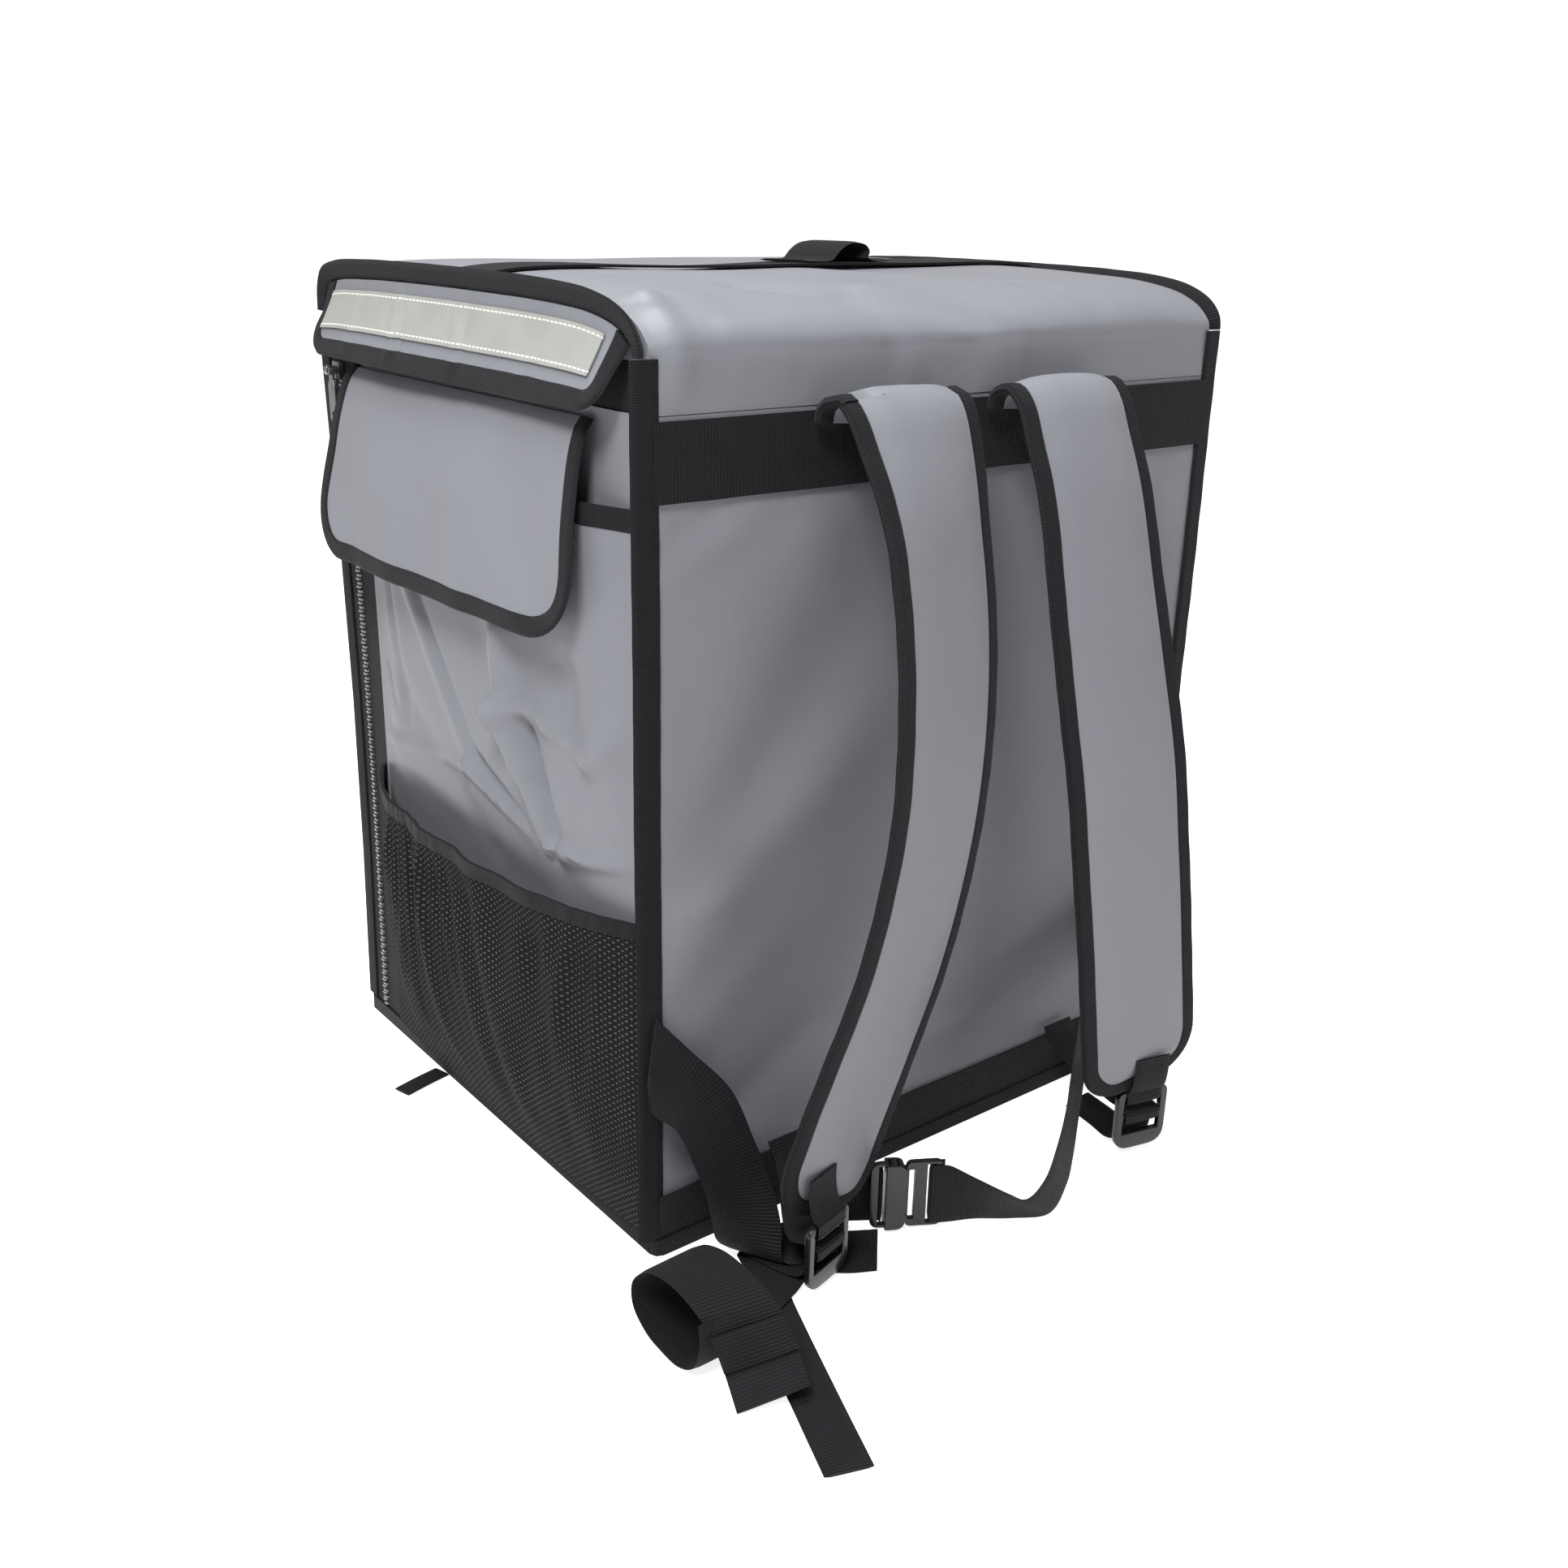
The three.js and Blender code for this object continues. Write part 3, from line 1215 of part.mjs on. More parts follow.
function rounded(x0, x1, y0, y1, radius) {
  const shape = new THREE.Shape();
  shape.moveTo(x0 + radius, y0);
  shape.lineTo(x1 - radius, y0);
  shape.quadraticCurveTo(x1, y0, x1, y0 + radius);
  shape.lineTo(x1, y1 - radius);
  shape.quadraticCurveTo(x1, y1, x1 - radius, y1);
  shape.lineTo(x0 + radius, y1);
  shape.quadraticCurveTo(x0, y1, x0, y1 - radius);
  shape.lineTo(x0, y0 + radius);
  shape.quadraticCurveTo(x0, y0, x0 + radius, y0);
  return shape;
}

function plateSolid(shape, thickness) {
  const geometry = extruded(shape, thickness);
  geometry.translate(0, 0, -thickness / 2);
  return toSolid(geometry);
}

function slotPath(x0, x1, half) {
  const slot = new THREE.Path();
  slot.moveTo(x0, -half);
  slot.lineTo(x0, half);
  slot.lineTo(x1, half);
  slot.lineTo(x1, -half);
  return slot;
}

function buckle() {
  const half = BUCKLE_WIDTH / 2;
  const slotHalf = WIDE_WEBBING / 2 + GAP;
  const thin = BUCKLE_THICKNESS - 2 * (BUCKLE_WALL + GAP);
  const outline = rounded(0, SOCKET_LENGTH, -half, half, 6);
  outline.holes.push(slotPath(BUCKLE_BAR, BUCKLE_BAR + 4, slotHalf));
  let socket = plateSolid(outline, BUCKLE_THICKNESS);
  for (const side of [-1, 1]) {
    const [from, to] = [side * LOCK_THICKNESS / 2, side * BUCKLE_THICKNESS];
    socket = socket.subtract(boxSolid(-1, BUCKLE_BAR + 4, -half - 1, half + 1, Math.min(from, to),
      Math.max(from, to)));
  }
  const [low, high] = [-thin / 2 - GAP, thin / 2 + GAP];
  socket = socket.subtract(boxSolid(10, SOCKET_LENGTH + 5, -half + 3, half - 3, low, high));
  socket = socket.subtract(boxSolid(10, 16, -half - 5, half + 5, low, high));
  const matrix = buckleMatrix();
  add("buckle_female", toGeometry(socket).applyMatrix4(matrix), PLASTIC);
  const start = SOCKET_LENGTH + GAP;
  const end = start + PLUG_LENGTH;
  const frame = rounded(start, end, -half, half, 4);
  frame.holes.push(slotPath(start + 1.5, start + 5, slotHalf - 3));
  frame.holes.push(slotPath(end - BUCKLE_BAR - 4.5, end - BUCKLE_BAR, slotHalf));
  let plug = plateSolid(frame, LOCK_THICKNESS);
  plug = plug.add(boxSolid(11, start + 1, -3, 3, -thin / 2, thin / 2));
  for (const side of [-1, 1]) {
    const arm = new THREE.Shape();
    arm.moveTo(start + 1, side * (half - 8));
    arm.lineTo(start + 1, side * (half - 4));
    arm.lineTo(15.6, side * (half - 3.5));
    arm.lineTo(14.6, side * (half + 0.6));
    arm.lineTo(11.4, side * (half - 1));
    arm.lineTo(11, side * (half - 5));
    arm.lineTo(14, side * (half - 8));
    plug = plug.add(plateSolid(arm, thin));
  }
  add("buckle_male", toGeometry(plug).applyMatrix4(matrix), PLASTIC);
}

// Bands and the handle on the lid
function lidTopPlace(x, y, off) {
  return lidPoint(x, profileShare(y, 0), off);
}

function topBand() {
  const rows = [];
  const half = WIDE_WEBBING / 2;
  const surface = (x, y) => lidTopPlace(x, y, 0);
  for (const y of [TOP_BAND_LINE - half, TOP_BAND_LINE, TOP_BAND_LINE + half]) {
    const row = [];
    for (let j = 0; j <= 12; j++) {
      row.push(new THREE.Vector2(lerp(-HALF_WIDTH + 0.5, HALF_WIDTH - 0.5, j / 12), y));
    }
    rows.push(row);
  }
  return sheetOn(surface, point(0, 0, 1), rows, () => BAND_LIFT, () => BAND_LIFT + WEBBING_THICKNESS);
}

// The handle's loop runs over the band: its places are shares of its span and of its rise
function grabHandle() {
  const seat = BAND_LIFT + WEBBING_THICKNESS * 1.5 + GAP;
  const loop = [[-0.5, 0], [0, 0], [0.1, 0.12], [0.22, 0.5], [0.42, 0.88], [0.66, 1], [0.88, 0.84],
    [0.97, 0.5], [0.94, 0.12], [1.06, 0], [1.5, 0]];
  const places = loop.map(([share, rise]) => {
    const at = lidTopPlace(HANDLE_START + share * HANDLE_SPAN, TOP_BAND_LINE, seat);
    return { at: [at.x, at.y, at.z + rise * HANDLE_RISE], across: HANDLE_ACROSS };
  });
  return webbing(places, WIDE_WEBBING - 4, 3);
}

function baseTab() {
  const flat = FLOOR_CLEAR + WEBBING_THICKNESS / 2;
  const places = [
    { at: [-205.4, 67, flat], across: [-0.28, 1, 0] },
    { at: [-238, 59, flat], across: [-0.28, 1, 0] },
  ];
  return webbing(places, BASE_TAB_WIDTH, 3);
}

add("body_shell", bodyShell(), FABRIC);
add("lid", lid(), FABRIC);
add("lid_zip", lidZip(), BLACK_FABRIC);
lidFlaps();
add("reflective_strip", reflectiveStrip(), REFLECTIVE);
add("arch_binding_left", archBinding(-1), BLACK_FABRIC);
add("arch_binding_right", archBinding(1), BLACK_FABRIC);
add("corner_binding_1", backBinding(-1), BLACK_FABRIC);
add("corner_binding_2", backBinding(1), BLACK_FABRIC);
add("corner_binding_3", frontBinding(1), BLACK_FABRIC);
add("corner_binding_4", frontBinding(-1), BLACK_FABRIC);
add("base_binding", baseBinding(), BLACK_FABRIC);
add("upper_band", panelBand(UPPER_BAND_TOP - WIDE_WEBBING, UPPER_BAND_TOP), BLACK_FABRIC);
add("bottom_band", panelBand(POCKET_FOOT, 39), BLACK_FABRIC);
sidePockets();
sideZip();
shoulderStrap("left");
shoulderStrap("right");
strapFittings("left");
strapFittings("right");
adjusters();
beltWebbing("waist_belt_left", BELT.left);
beltWebbing("belt_floor", BELT.run);
beltWebbing("belt_tail", BELT.tail);
beltWebbing("waist_belt_right", BELT.right);
buckle();
add("top_band", topBand(), BLACK_FABRIC);
add("grab_handle", grabHandle(), BLACK_FABRIC);
add("base_tab", baseTab(), BLACK_FABRIC);

export default group;
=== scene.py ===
"""Insulated delivery backpack: cloth, webbing and fittings laid over the fixed frame.

All shapes are worked out in millimetres in the frame's own axes and stored in metres:
+Z is up, the strap panel faces -Y and the pocket side faces -X.
"""

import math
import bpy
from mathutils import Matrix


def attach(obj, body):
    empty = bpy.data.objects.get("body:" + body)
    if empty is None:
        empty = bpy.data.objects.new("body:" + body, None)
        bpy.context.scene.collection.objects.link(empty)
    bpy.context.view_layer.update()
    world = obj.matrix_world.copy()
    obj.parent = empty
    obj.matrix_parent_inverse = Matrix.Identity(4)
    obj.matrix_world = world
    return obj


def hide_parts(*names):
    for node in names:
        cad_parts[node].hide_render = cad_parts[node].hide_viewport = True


bl_info = {
    "name": "Insulated Delivery Backpack",
    "version": (1, 0, 0),
    "blender": (4, 5, 0),
    "location": "View3D > Sidebar > Backpack",
    "description": "Builds the cloth, webbing, fittings and stage of an insulated delivery backpack",
    "category": "Object",
}

import bmesh
import bpy
import numpy as np
from bpy.props import FloatProperty, FloatVectorProperty, PointerProperty
from mathutils import Matrix, Vector

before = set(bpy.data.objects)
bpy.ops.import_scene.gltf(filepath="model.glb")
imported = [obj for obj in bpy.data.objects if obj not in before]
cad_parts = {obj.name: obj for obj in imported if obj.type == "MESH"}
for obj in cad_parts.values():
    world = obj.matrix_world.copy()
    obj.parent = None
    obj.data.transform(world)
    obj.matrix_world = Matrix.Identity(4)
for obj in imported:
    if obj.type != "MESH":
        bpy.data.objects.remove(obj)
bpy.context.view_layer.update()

MM = 0.001
BAG = "bag"
PULLER = "puller"

# Sizes that the cloth shares with the frame's solids
HALF_WIDTH = 200.0
HALF_DEPTH = 180.0
BODY_HEIGHT = 456.0
LID_HEIGHT = 34.0
LID_BASE = 480.0
LID_TOP = LID_BASE + LID_HEIGHT
WALL = 8.0
CORNER = 3.0
SWELL = 4.0
WAIST = 9.0
LID_CROWN = 6.0
LID_SAG = 0.1
EDGE_SINK = 4.0
GAP = 0.4
CLOTH = 1.2

# Bindings, and how much further out the lid's right arch leans
BINDING = 11.0
BINDING_THICK = 2.6
ARCH_LEAN = 6.0
ARC_STEPS = 12

# Webbing: its widths, and the lowest and highest line of each band
WEBBING_THICK = 1.5
WIDE = 38.0
NARROW = 25.0
LOOP_WIDTH = 14.0
STRIP_COLUMNS = 9
POCKET_FOOT = 11.8
UPPER_BAND = (416.0, 454.0)
BOTTOM_BAND = (POCKET_FOOT, 39.0)
TOP_BAND = (-31.0, 7.0)

# Lid flaps: where a side flap starts and ends at its seam and at its lower edge, as shares of half
# the depth
FLAP_LIFT = 14.0
FLAP_DROP = LID_TOP - BINDING - GAP - BODY_HEIGHT
FLAP_NEAR = (-0.93, -0.87)
FLAP_FAR = (0.9, 1.02)
FLAP_ROUND = 18
FRONT_DROP = 60.0
FRONT_ROUND = 26
TAPE_START = BINDING + 6
TAPE_WIDTH = 23.0
TAPE_STITCH = 2.2

# Side pocket, its flap, the net and the upright zip
POCKET_TOP = 401.0
POCKET_NEAR = -176.6
POCKET_FAR = 132.0
POCKET_BULGE = 12.0
POCKET_FLAP_TOP = 450.0
POCKET_FLAP_DROP = 108.0
POCKET_FLAP_ROUND = 34
MESH_TOP = 201.0
MESH_BULGE = 26.0
ELASTIC = 9.0
ZIP_LINE = 156.0
ZIP_ENDS = (14.0, 441.0)

# Straps and the grab handle
STRAP_WIDTH = 87.0
STRAP_THICK = 11.0
STRAP_EDGE = 5.0
STRAP_ROUND = 30
HANDLE_FOOT = 24
HANDLE_LINE = -12.0
HANDLE_SPAN = 32.0
HANDLE_RISE = 10.0

# Thread and stitch sizes in metres
WEAVE_PITCH = 0.0009
STITCH_PITCH = 0.0042
STITCH_HALF = 0.0004
NET_HOLE = (0.0048, 0.0038)

# Side profile of the lid: shares of half the depth and of the lid's height
LID_PROFILE = np.array([
    (-1.0, 0.0), (-0.99, 0.3), (-0.95, 0.55), (-0.87, 0.76), (-0.74, 0.9), (-0.5, 0.975),
    (-0.17, 1.0), (0.25, 1.0), (0.62, 0.97), (0.84, 0.9), (0.95, 0.74), (0.99, 0.42), (1.0, 0.0),
])

# Soft dents: centre as two shares, reach, depth
BACK_DENTS = ((-0.72, 0.3, 0.16, 1.6), (0.7, 0.3, 0.15, 1.2), (-0.3, 0.62, 0.2, 0.9),
              (0.35, 0.55, 0.2, 0.9))
LID_DENTS = ((-0.62, -0.8, 0.2, 0.6), (0.1, -0.84, 0.26, 0.9), (0.55, -0.5, 0.3, 0.5),
             (-0.3, 0.2, 0.34, 0.6))

# Folds as lines in millimetres: from, to, width, lift
POCKET_FOLDS = (
    (-54, 337, -79, 265, 12.6, 0.75), (-79, 265, -112, 208, 10.8, -0.5),
    (-72, 281, -90, 220, 9, 0.45), (108, 289, -36, 200, 10.8, -0.3),
    (99, 224, -90, 200, 9, 0.25), (-135, 289, -126, 208, 9, -0.3),
)
POCKET_CREASES = (
    (-65, 335, -60, 289, 9, 0.62), (-60, 289, -100, 300, 9, 0.62), (-60, 287, -103, 222, 7, 0.56),
    (-82, 286, -104, 220, 5, -0.94), (-105, 292, -137, 281, 8, 0.44), (-137, 281, -165, 300, 9, 0.38),
    (-118, 320, -125, 265, 12, -0.44), (49, 335, -22, 250, 4, -0.28), (-22, 250, -101, 217, 4, -0.38),
    (58, 335, -14, 248, 6, 0.19), (120, 228, -12, 242, 4, 0.25), (-12, 242, -100, 219, 4, 0.31),
    (-100, 219, -172, 230, 4, 0.44), (113, 275, 85, 255, 5, -0.25), (90, 330, 70, 250, 6, -0.25),
    (-150, 300, -160, 250, 10, 0.31),
)
NET_FOLDS = (
    (95, 190, 60, 40, 9, -5.0), (78, 190, 44, 40, 9, 5.0), (20, 190, 10, 60, 10, 5.0),
    (36, 190, 22, 60, 8, -4.5), (-40, 190, -62, 30, 9, -5.0), (-58, 190, -84, 30, 10, 5.0),
    (-100, 190, -120, 50, 9, -4.0), (-116, 190, -140, 40, 9, 4.0), (-12, 190, -30, 60, 8, -3.5),
)
BACK_FOLDS = (
    (-198, 392, -165, 410, 6, -2.66), (-198, 380, -140, 406, 8, 2.66), (-190, 185, -40, 300, 26, 6.46),
    (-150, 235, -60, 370, 30, -6.08), (-197, 203, -150, 207, 6, 3.04), (-120, 209, -83, 114, 26, -3.42),
    (-190, 120, -120, 170, 14, 2.28), (-170, 60, -90, 110, 12, -3.04), (-10, 58, 120, 90, 16, -4.56),
    (0, 95, 130, 130, 20, 4.56), (35, 396, 50, 110, 30, -4.94), (175, 392, 190, 300, 14, -4.18),
    (-195, 40, -130, 50, 9, 2.28), (120, 30, 196, 60, 10, -2.66), (-100, 390, -60, 330, 24, 3.04),
)
LID_FOLDS = (
    (-184, -150, -186, -180, 9, 7.8), (-198, -150, -160, -172, 5, -3.38), (-196, -120, -150, -150, 6, 2.08),
    (-104, -120, -50, -178, 9, -3.38), (-60, -150, 10, -178, 8, -2.86), (-40, -140, 40, -176, 6, 2.34),
    (60, -100, 110, -170, 9, -2.08), (-150, -60, -60, -150, 12, -1.82), (-190, -178, -120, -176, 6, 1.82),
    (120, -150, 190, -176, 9, -1.82), (-20, -90, 90, -130, 20, 2.6), (40, -40, 160, -100, 26, -2.34),
)
FLAP_FOLDS = ((60, 10, 66, 56, 3, 1.8), (52, 10, 58, 56, 4, -1.2), (-20, 4, -16, 58, 4, -1.3),
              (-12, 4, -8, 58, 5, 1.0), (120, 6, 112, 56, 5, 1.2), (-90, 8, -96, 50, 5, -1.0))
POCKET_FLAP_FOLDS = ((-120, 20, -60, 96, 16, -2.4), (40, 10, 100, 100, 20, 2.2),
                     (-40, 4, -20, 60, 14, 1.8), (-100, 0, -10, 70, 18, 1.6), (90, 0, 130, 60, 12, -1.8))

# Middle lines of the straps: aside, off the panel, height
STRAP_PLACES = {
    "left": [(-66, 7.7, 449), (-66, 9.2, 455), (-66, 15, 459.5), (-65, 22, 460), (-65, 30, 453),
             (-64, 38, 436), (-62, 48, 405), (-59, 57, 350), (-59, 61, 300), (-60, 60, 250),
             (-69, 60, 202), (-82, 60, 160), (-100, 60, 120), (-121, 61, 78), (-139, 62, 37)],
    "right": [(52, 7.8, 449), (52, 9.3, 455), (52, 15, 459.5), (52, 22, 460), (52, 30, 453),
              (52, 38, 436), (54, 49, 405), (56, 62, 350), (62, 70, 300), (70, 76, 250),
              (75, 81, 200), (80, 84, 160), (84, 87, 120), (90, 88, 80), (96, 87, 47)],
}
STRAP_TURN = {"left": (13.0, 0.02, 0.22), "right": (-7.5, 0.1, 0.6)}

# Ladder locks: centre aside, off the panel and up, turn in degrees, strap's front
LOCK_HEIGHT = 40.0
LOCK_THICK = 4.0
LOCK_BAR = 4.5
LOCKS = {"left": ((-141, -75, 24), 15.0, -4.8), "right": ((98, -89, 24), -14.0, 5.9)}

BUCKLE_START = (-90.2, -232.0, 23.2)
BUCKLE_ALONG = (0.86, -0.51, 0.0)

# Stage: the camera's place in millimetres, its turn, dip and roll in degrees, and its focal length as
# pixels of an image of IMAGE_SIDE
CAMERA_PLACE = (-612, -798.5, 552.7)
CAMERA_TURN = (-38.65, 20.22, 1.3)
SENSOR = 36
FOCAL_PIXELS = 1970
IMAGE_SIDE = 1932
FLOOR_HALF = 12.0
FLOOR_LIT, FLOOR_SEEN = 0.08, 0.8
SURROUND_SEEN = 1.0


def smoothstep(x, low, high):
    """Rises from 0 at low to 1 at high: three times the square of the share less twice its cube."""
    t = np.clip((x - low) / (high - low), 0, 1)
    return t * t * (3 - 2 * t)


def unit(v):
    """Vectors along the last axis, made one long."""
    return v / np.maximum(np.linalg.norm(v, axis=-1, keepdims=True), 1e-9)


def bell(distance, reach):
    """One in the middle, and e to the minus square of distance over reach further out."""
    return np.exp(-((distance / reach) ** 2))


def from_segment(a, b, start_a, start_b, end_a, end_b):
    """Distance of points from a line segment, and the share along it of their nearest point."""
    da, db = end_a - start_a, end_b - start_b
    share = np.clip(((a - start_a) * da + (b - start_b) * db) / (da * da + db * db), 0, 1)
    return np.hypot(a - start_a - share * da, b - start_b - share * db), share


def ridges(a, b, table):
    """Sum of bell-shaped ridges: each is a bell of the distance from a line segment, times its lift,
    and is half as high at its far end."""
    total = np.zeros(np.broadcast(a, b).shape)
    for *ends, width, lift in table:
        distance, share = from_segment(a, b, *ends)
        total += lift * bell(distance, width) * (1 - 0.5 * share)
    return total * bpy.context.scene.backpack_sizes.fold_depth


def back_lift(x, z):
    """Folds and slight unevenness of the strap panel and of the bands sewn on it."""
    return ridges(x, z, BACK_FOLDS) + 0.5 * noise(x, z, 5, size=120)


def flap_lift(a, b, folds):
    """Folds and slight unevenness of a flap and of what is sewn on it."""
    return ridges(a, b, folds) + 0.35 * noise(a, b, 3, size=70)


def catmull(points, t):
    """Centripetal Catmull-Rom line through points; each span takes an equal share of t. A span is
    the cubic that meets both its ends with the slopes given by their neighbours."""
    p = np.asarray(points, float)
    p = np.vstack([2 * p[0] - p[1], p, 2 * p[-1] - p[-2]])
    spans = len(p) - 3
    s = np.clip(np.asarray(t, float), 0, 1) * spans
    i = np.minimum(s.astype(int), spans - 1)
    w = (s - i)[..., None]
    a, b, c, d = p[i], p[i + 1], p[i + 2], p[i + 3]

    def knot(q, r):
        """Root of the distance between two points."""
        return np.maximum(((r - q) ** 2).sum(-1) ** 0.25, 1e-4)[..., None]

    e, f, g = knot(a, b), knot(b, c), knot(c, d)
    m1 = ((b - a) / e - (c - a) / (e + f) + (c - b) / f) * f
    m2 = ((c - b) / f - (d - b) / (f + g) + (d - c) / g) * f
    return b + m1 * w + (-3 * b + 3 * c - 2 * m1 - m2) * w**2 + (2 * b - 2 * c + m1 + m2) * w**3


def noise(a, b, seed, size=60.0):
    """Smooth seeded unevenness: the mean of five plane waves of random heading, about size long."""
    waves = 5
    rng = np.random.default_rng(seed)
    total = np.zeros(np.broadcast(a, b).shape)
    for _ in range(waves):
        heading, phase = rng.uniform(0, 2 * np.pi, 2)
        length = size * rng.uniform(0.7, 1.6)
        total += np.sin((a * np.cos(heading) + b * np.sin(heading)) * 2 * np.pi / length + phase)
    return total / waves


def publish(name, points, faces, uv, material, body=BAG, covers=(), slot=None, smooth=True):
    """Makes one object from points in millimetres; uv holds one pair per point, in metres. The object
    rides on body and stands for the solids in covers; slot is not used."""
    mesh = bpy.data.meshes.new(name)
    mesh.from_pydata((np.asarray(points).reshape(-1, 3) * MM).tolist(), [], faces)
    layer = mesh.uv_layers.new(name="UVMap")
    loops = np.zeros(len(mesh.loops), dtype=np.int32)
    mesh.loops.foreach_get("vertex_index", loops)
    layer.data.foreach_set("uv", np.asarray(uv).reshape(-1, 2)[loops].ravel())
    mesh.validate()
    obj = bpy.data.objects.new(name, mesh)
    bpy.context.scene.collection.objects.link(obj)
    obj.data.materials.append(material)
    turn_outward(obj)
    mesh.polygons.foreach_set("use_smooth", np.full(len(mesh.polygons), smooth))
    if smooth:
        mesh.set_sharp_from_angle(angle=math.radians(50))
    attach(obj, body)
    if covers:
        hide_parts(*covers)
    return obj


def turn_outward(obj):
    """Faces point out: a mesh of negative volume is flipped."""
    mesh = obj.data
    mesh.calc_loop_triangles()
    tris = np.zeros(len(mesh.loop_triangles) * 3, dtype=np.int32)
    mesh.loop_triangles.foreach_get("vertices", tris)
    co = np.zeros(len(mesh.vertices) * 3)
    mesh.vertices.foreach_get("co", co)
    corners = co.reshape(-1, 3)[tris].reshape(-1, 3, 3)
    if np.einsum("ij,ij->i", corners[:, 0], np.cross(corners[:, 1], corners[:, 2])).sum() < 0:
        mesh.flip_normals()


def grid_faces(rows, columns, start=0, closed=False):
    """Quads between the points of a grid, whose columns join up when closed."""
    i = np.arange(rows - 1)[:, None]
    j = np.arange(columns if closed else columns - 1)[None, :]
    k = (j + 1) % columns
    a, b = start + i * columns + j, start + i * columns + k
    c, d = a + columns, b + columns
    return np.stack([a + 0 * b, b, d, c], -1).reshape(-1, 4).tolist()


def slab(top, bottom):
    """A closed sheet between two grids of points, joined round their rim."""
    rows, columns = top.shape[:2]
    offset = rows * columns
    faces = grid_faces(rows, columns)
    faces += [[d, c, b, a] for a, b, c, d in grid_faces(rows, columns, offset)]
    index = np.arange(offset).reshape(rows, columns)
    rim = np.concatenate([index[0], index[1:, -1], index[-1, -2::-1], index[-2:0:-1, 0]])
    after = np.roll(rim, -1)
    faces += np.stack([rim, rim + offset, after + offset, after], -1).tolist()
    return np.concatenate([top.reshape(-1, 3), bottom.reshape(-1, 3)]), faces


def surface_normal(surface, a, b, facing):
    """Unit normal of a surface of two parameters, on the side that faces outward."""
    step = 0.25
    across = surface(a + step, b) - surface(a - step, b)
    up = surface(a, b + step) - surface(a, b - step)
    normal = unit(np.cross(across, up))
    flip = np.where((normal * np.asarray(facing, float)).sum(-1) < 0, -1.0, 1.0)
    return normal * flip[..., None]


def cloth_on(name, surface, facing, grid, low, high, material, **rest):
    """A sheet on a surface: its two faces lie low and high off the surface along its normal."""
    a, b = grid[..., 0], grid[..., 1]
    normal = surface_normal(surface, a, b, facing)
    base = surface(a, b)
    points, faces = slab(base + normal * np.broadcast_to(high, a.shape)[..., None],
                         base + normal * np.broadcast_to(low, a.shape)[..., None])
    uv = np.concatenate([grid.reshape(-1, 2), grid.reshape(-1, 2)]) * MM
    return publish(name, points, faces, uv, material, **rest)


def section():
    """Closed outline of a flat strip, as shares across and through: it is as thick as the root of one
    less the sixth power of the share across."""
    v = np.linspace(-1, 1, STRIP_COLUMNS)
    thick = (1 - np.abs(v) ** 6) ** 0.5
    return np.concatenate([v, v[::-1]]), np.concatenate([thick, -thick[::-1]])


def carried(name, first, second, thickness, material, wave=0.0, **rest):
    """A strip carried along two edge lines: its section runs from one edge to the other, and its
    faces stand off the middle by half the thickness along the cross product of both directions."""
    first, second = np.asarray(first, float), np.asarray(second, float)
    centre, half = (first + second) / 2, (second - first) / 2
    normal = unit(np.cross(np.gradient(centre, axis=0), half)) * thickness / 2
    across, through = section()
    lengths = np.concatenate([[0], np.cumsum(np.linalg.norm(np.diff(centre, axis=0), axis=1))])
    ripple = wave * np.sin(lengths / 5.0)[:, None, None] * normal[:, None]
    points = (centre[:, None] + half[:, None] * across[None, :, None]
              + normal[:, None] * through[None, :, None] + ripple)
    rows, count = points.shape[:2]
    faces = grid_faces(rows, count, closed=True)
    faces += [list(range(count))[::-1], list(range((rows - 1) * count, rows * count))]
    width = np.linalg.norm(half, axis=1)
    uv = np.stack([np.broadcast_to(lengths[:, None], (rows, count)),
                   width[:, None] * across[None, :]], -1) * MM
    return publish(name, points, faces, uv, material, **rest)


def webbing(name, places, width, material, steps=8, **rest):
    """Webbing through places of a centre and a width direction, on two smooth edge lines."""
    at = np.array([p[0] for p in places], float)
    across = unit(np.array([p[1] for p in places], float)) * width / 2
    t = np.linspace(0, 1, (len(places) - 1) * steps + 1)
    edges = catmull(at + across, t), catmull(at - across, t)
    return carried(name, *edges, WEBBING_THICK, material, **rest)


# Panels of the bag

def swell(across, up):
    """A panel stands out by the root of a sine up it, times a parabola across it."""
    inside = np.where((up > 0) & (up < 1), np.sin(np.pi * np.clip(up, 0, 1)), 0)
    return SWELL * np.maximum(0, 1 - (across / 0.92) ** 2) * np.sqrt(np.maximum(inside, 0))


def drawn_in(y, z):
    """The far half moves in by a sine of the height, in proportion to its depth."""
    return y - WAIST * np.maximum(0, y / HALF_DEPTH) * np.sin(np.pi * np.clip(z / BODY_HEIGHT, 0, 1))


def side_point(side, y, z, off):
    """A side panel's point: half the width, the panel's swell and a distance off it along X."""
    out = HALF_WIDTH + swell(y / HALF_DEPTH, z / BODY_HEIGHT) + off
    return np.stack(np.broadcast_arrays(side * out, drawn_in(y, z), z), -1)


def back_point(x, z, off):
    """The strap panel's point: half the depth and the swell, less a bell for each dent, which dies
    with the fourth power of the share across, and a distance off it along Y."""
    across, up = x / HALF_WIDTH, z / BODY_HEIGHT
    dents = 0
    for a, b, reach, depth in BACK_DENTS:
        distance = np.hypot((across - a) * HALF_WIDTH / BODY_HEIGHT, up - b)
        dents = dents + depth * SWELL * bell(distance, reach)
    out = swell(across, up) - dents * np.maximum(0, 1 - across**4)
    return np.stack(np.broadcast_arrays(x, -(HALF_DEPTH + out + off), z), -1)


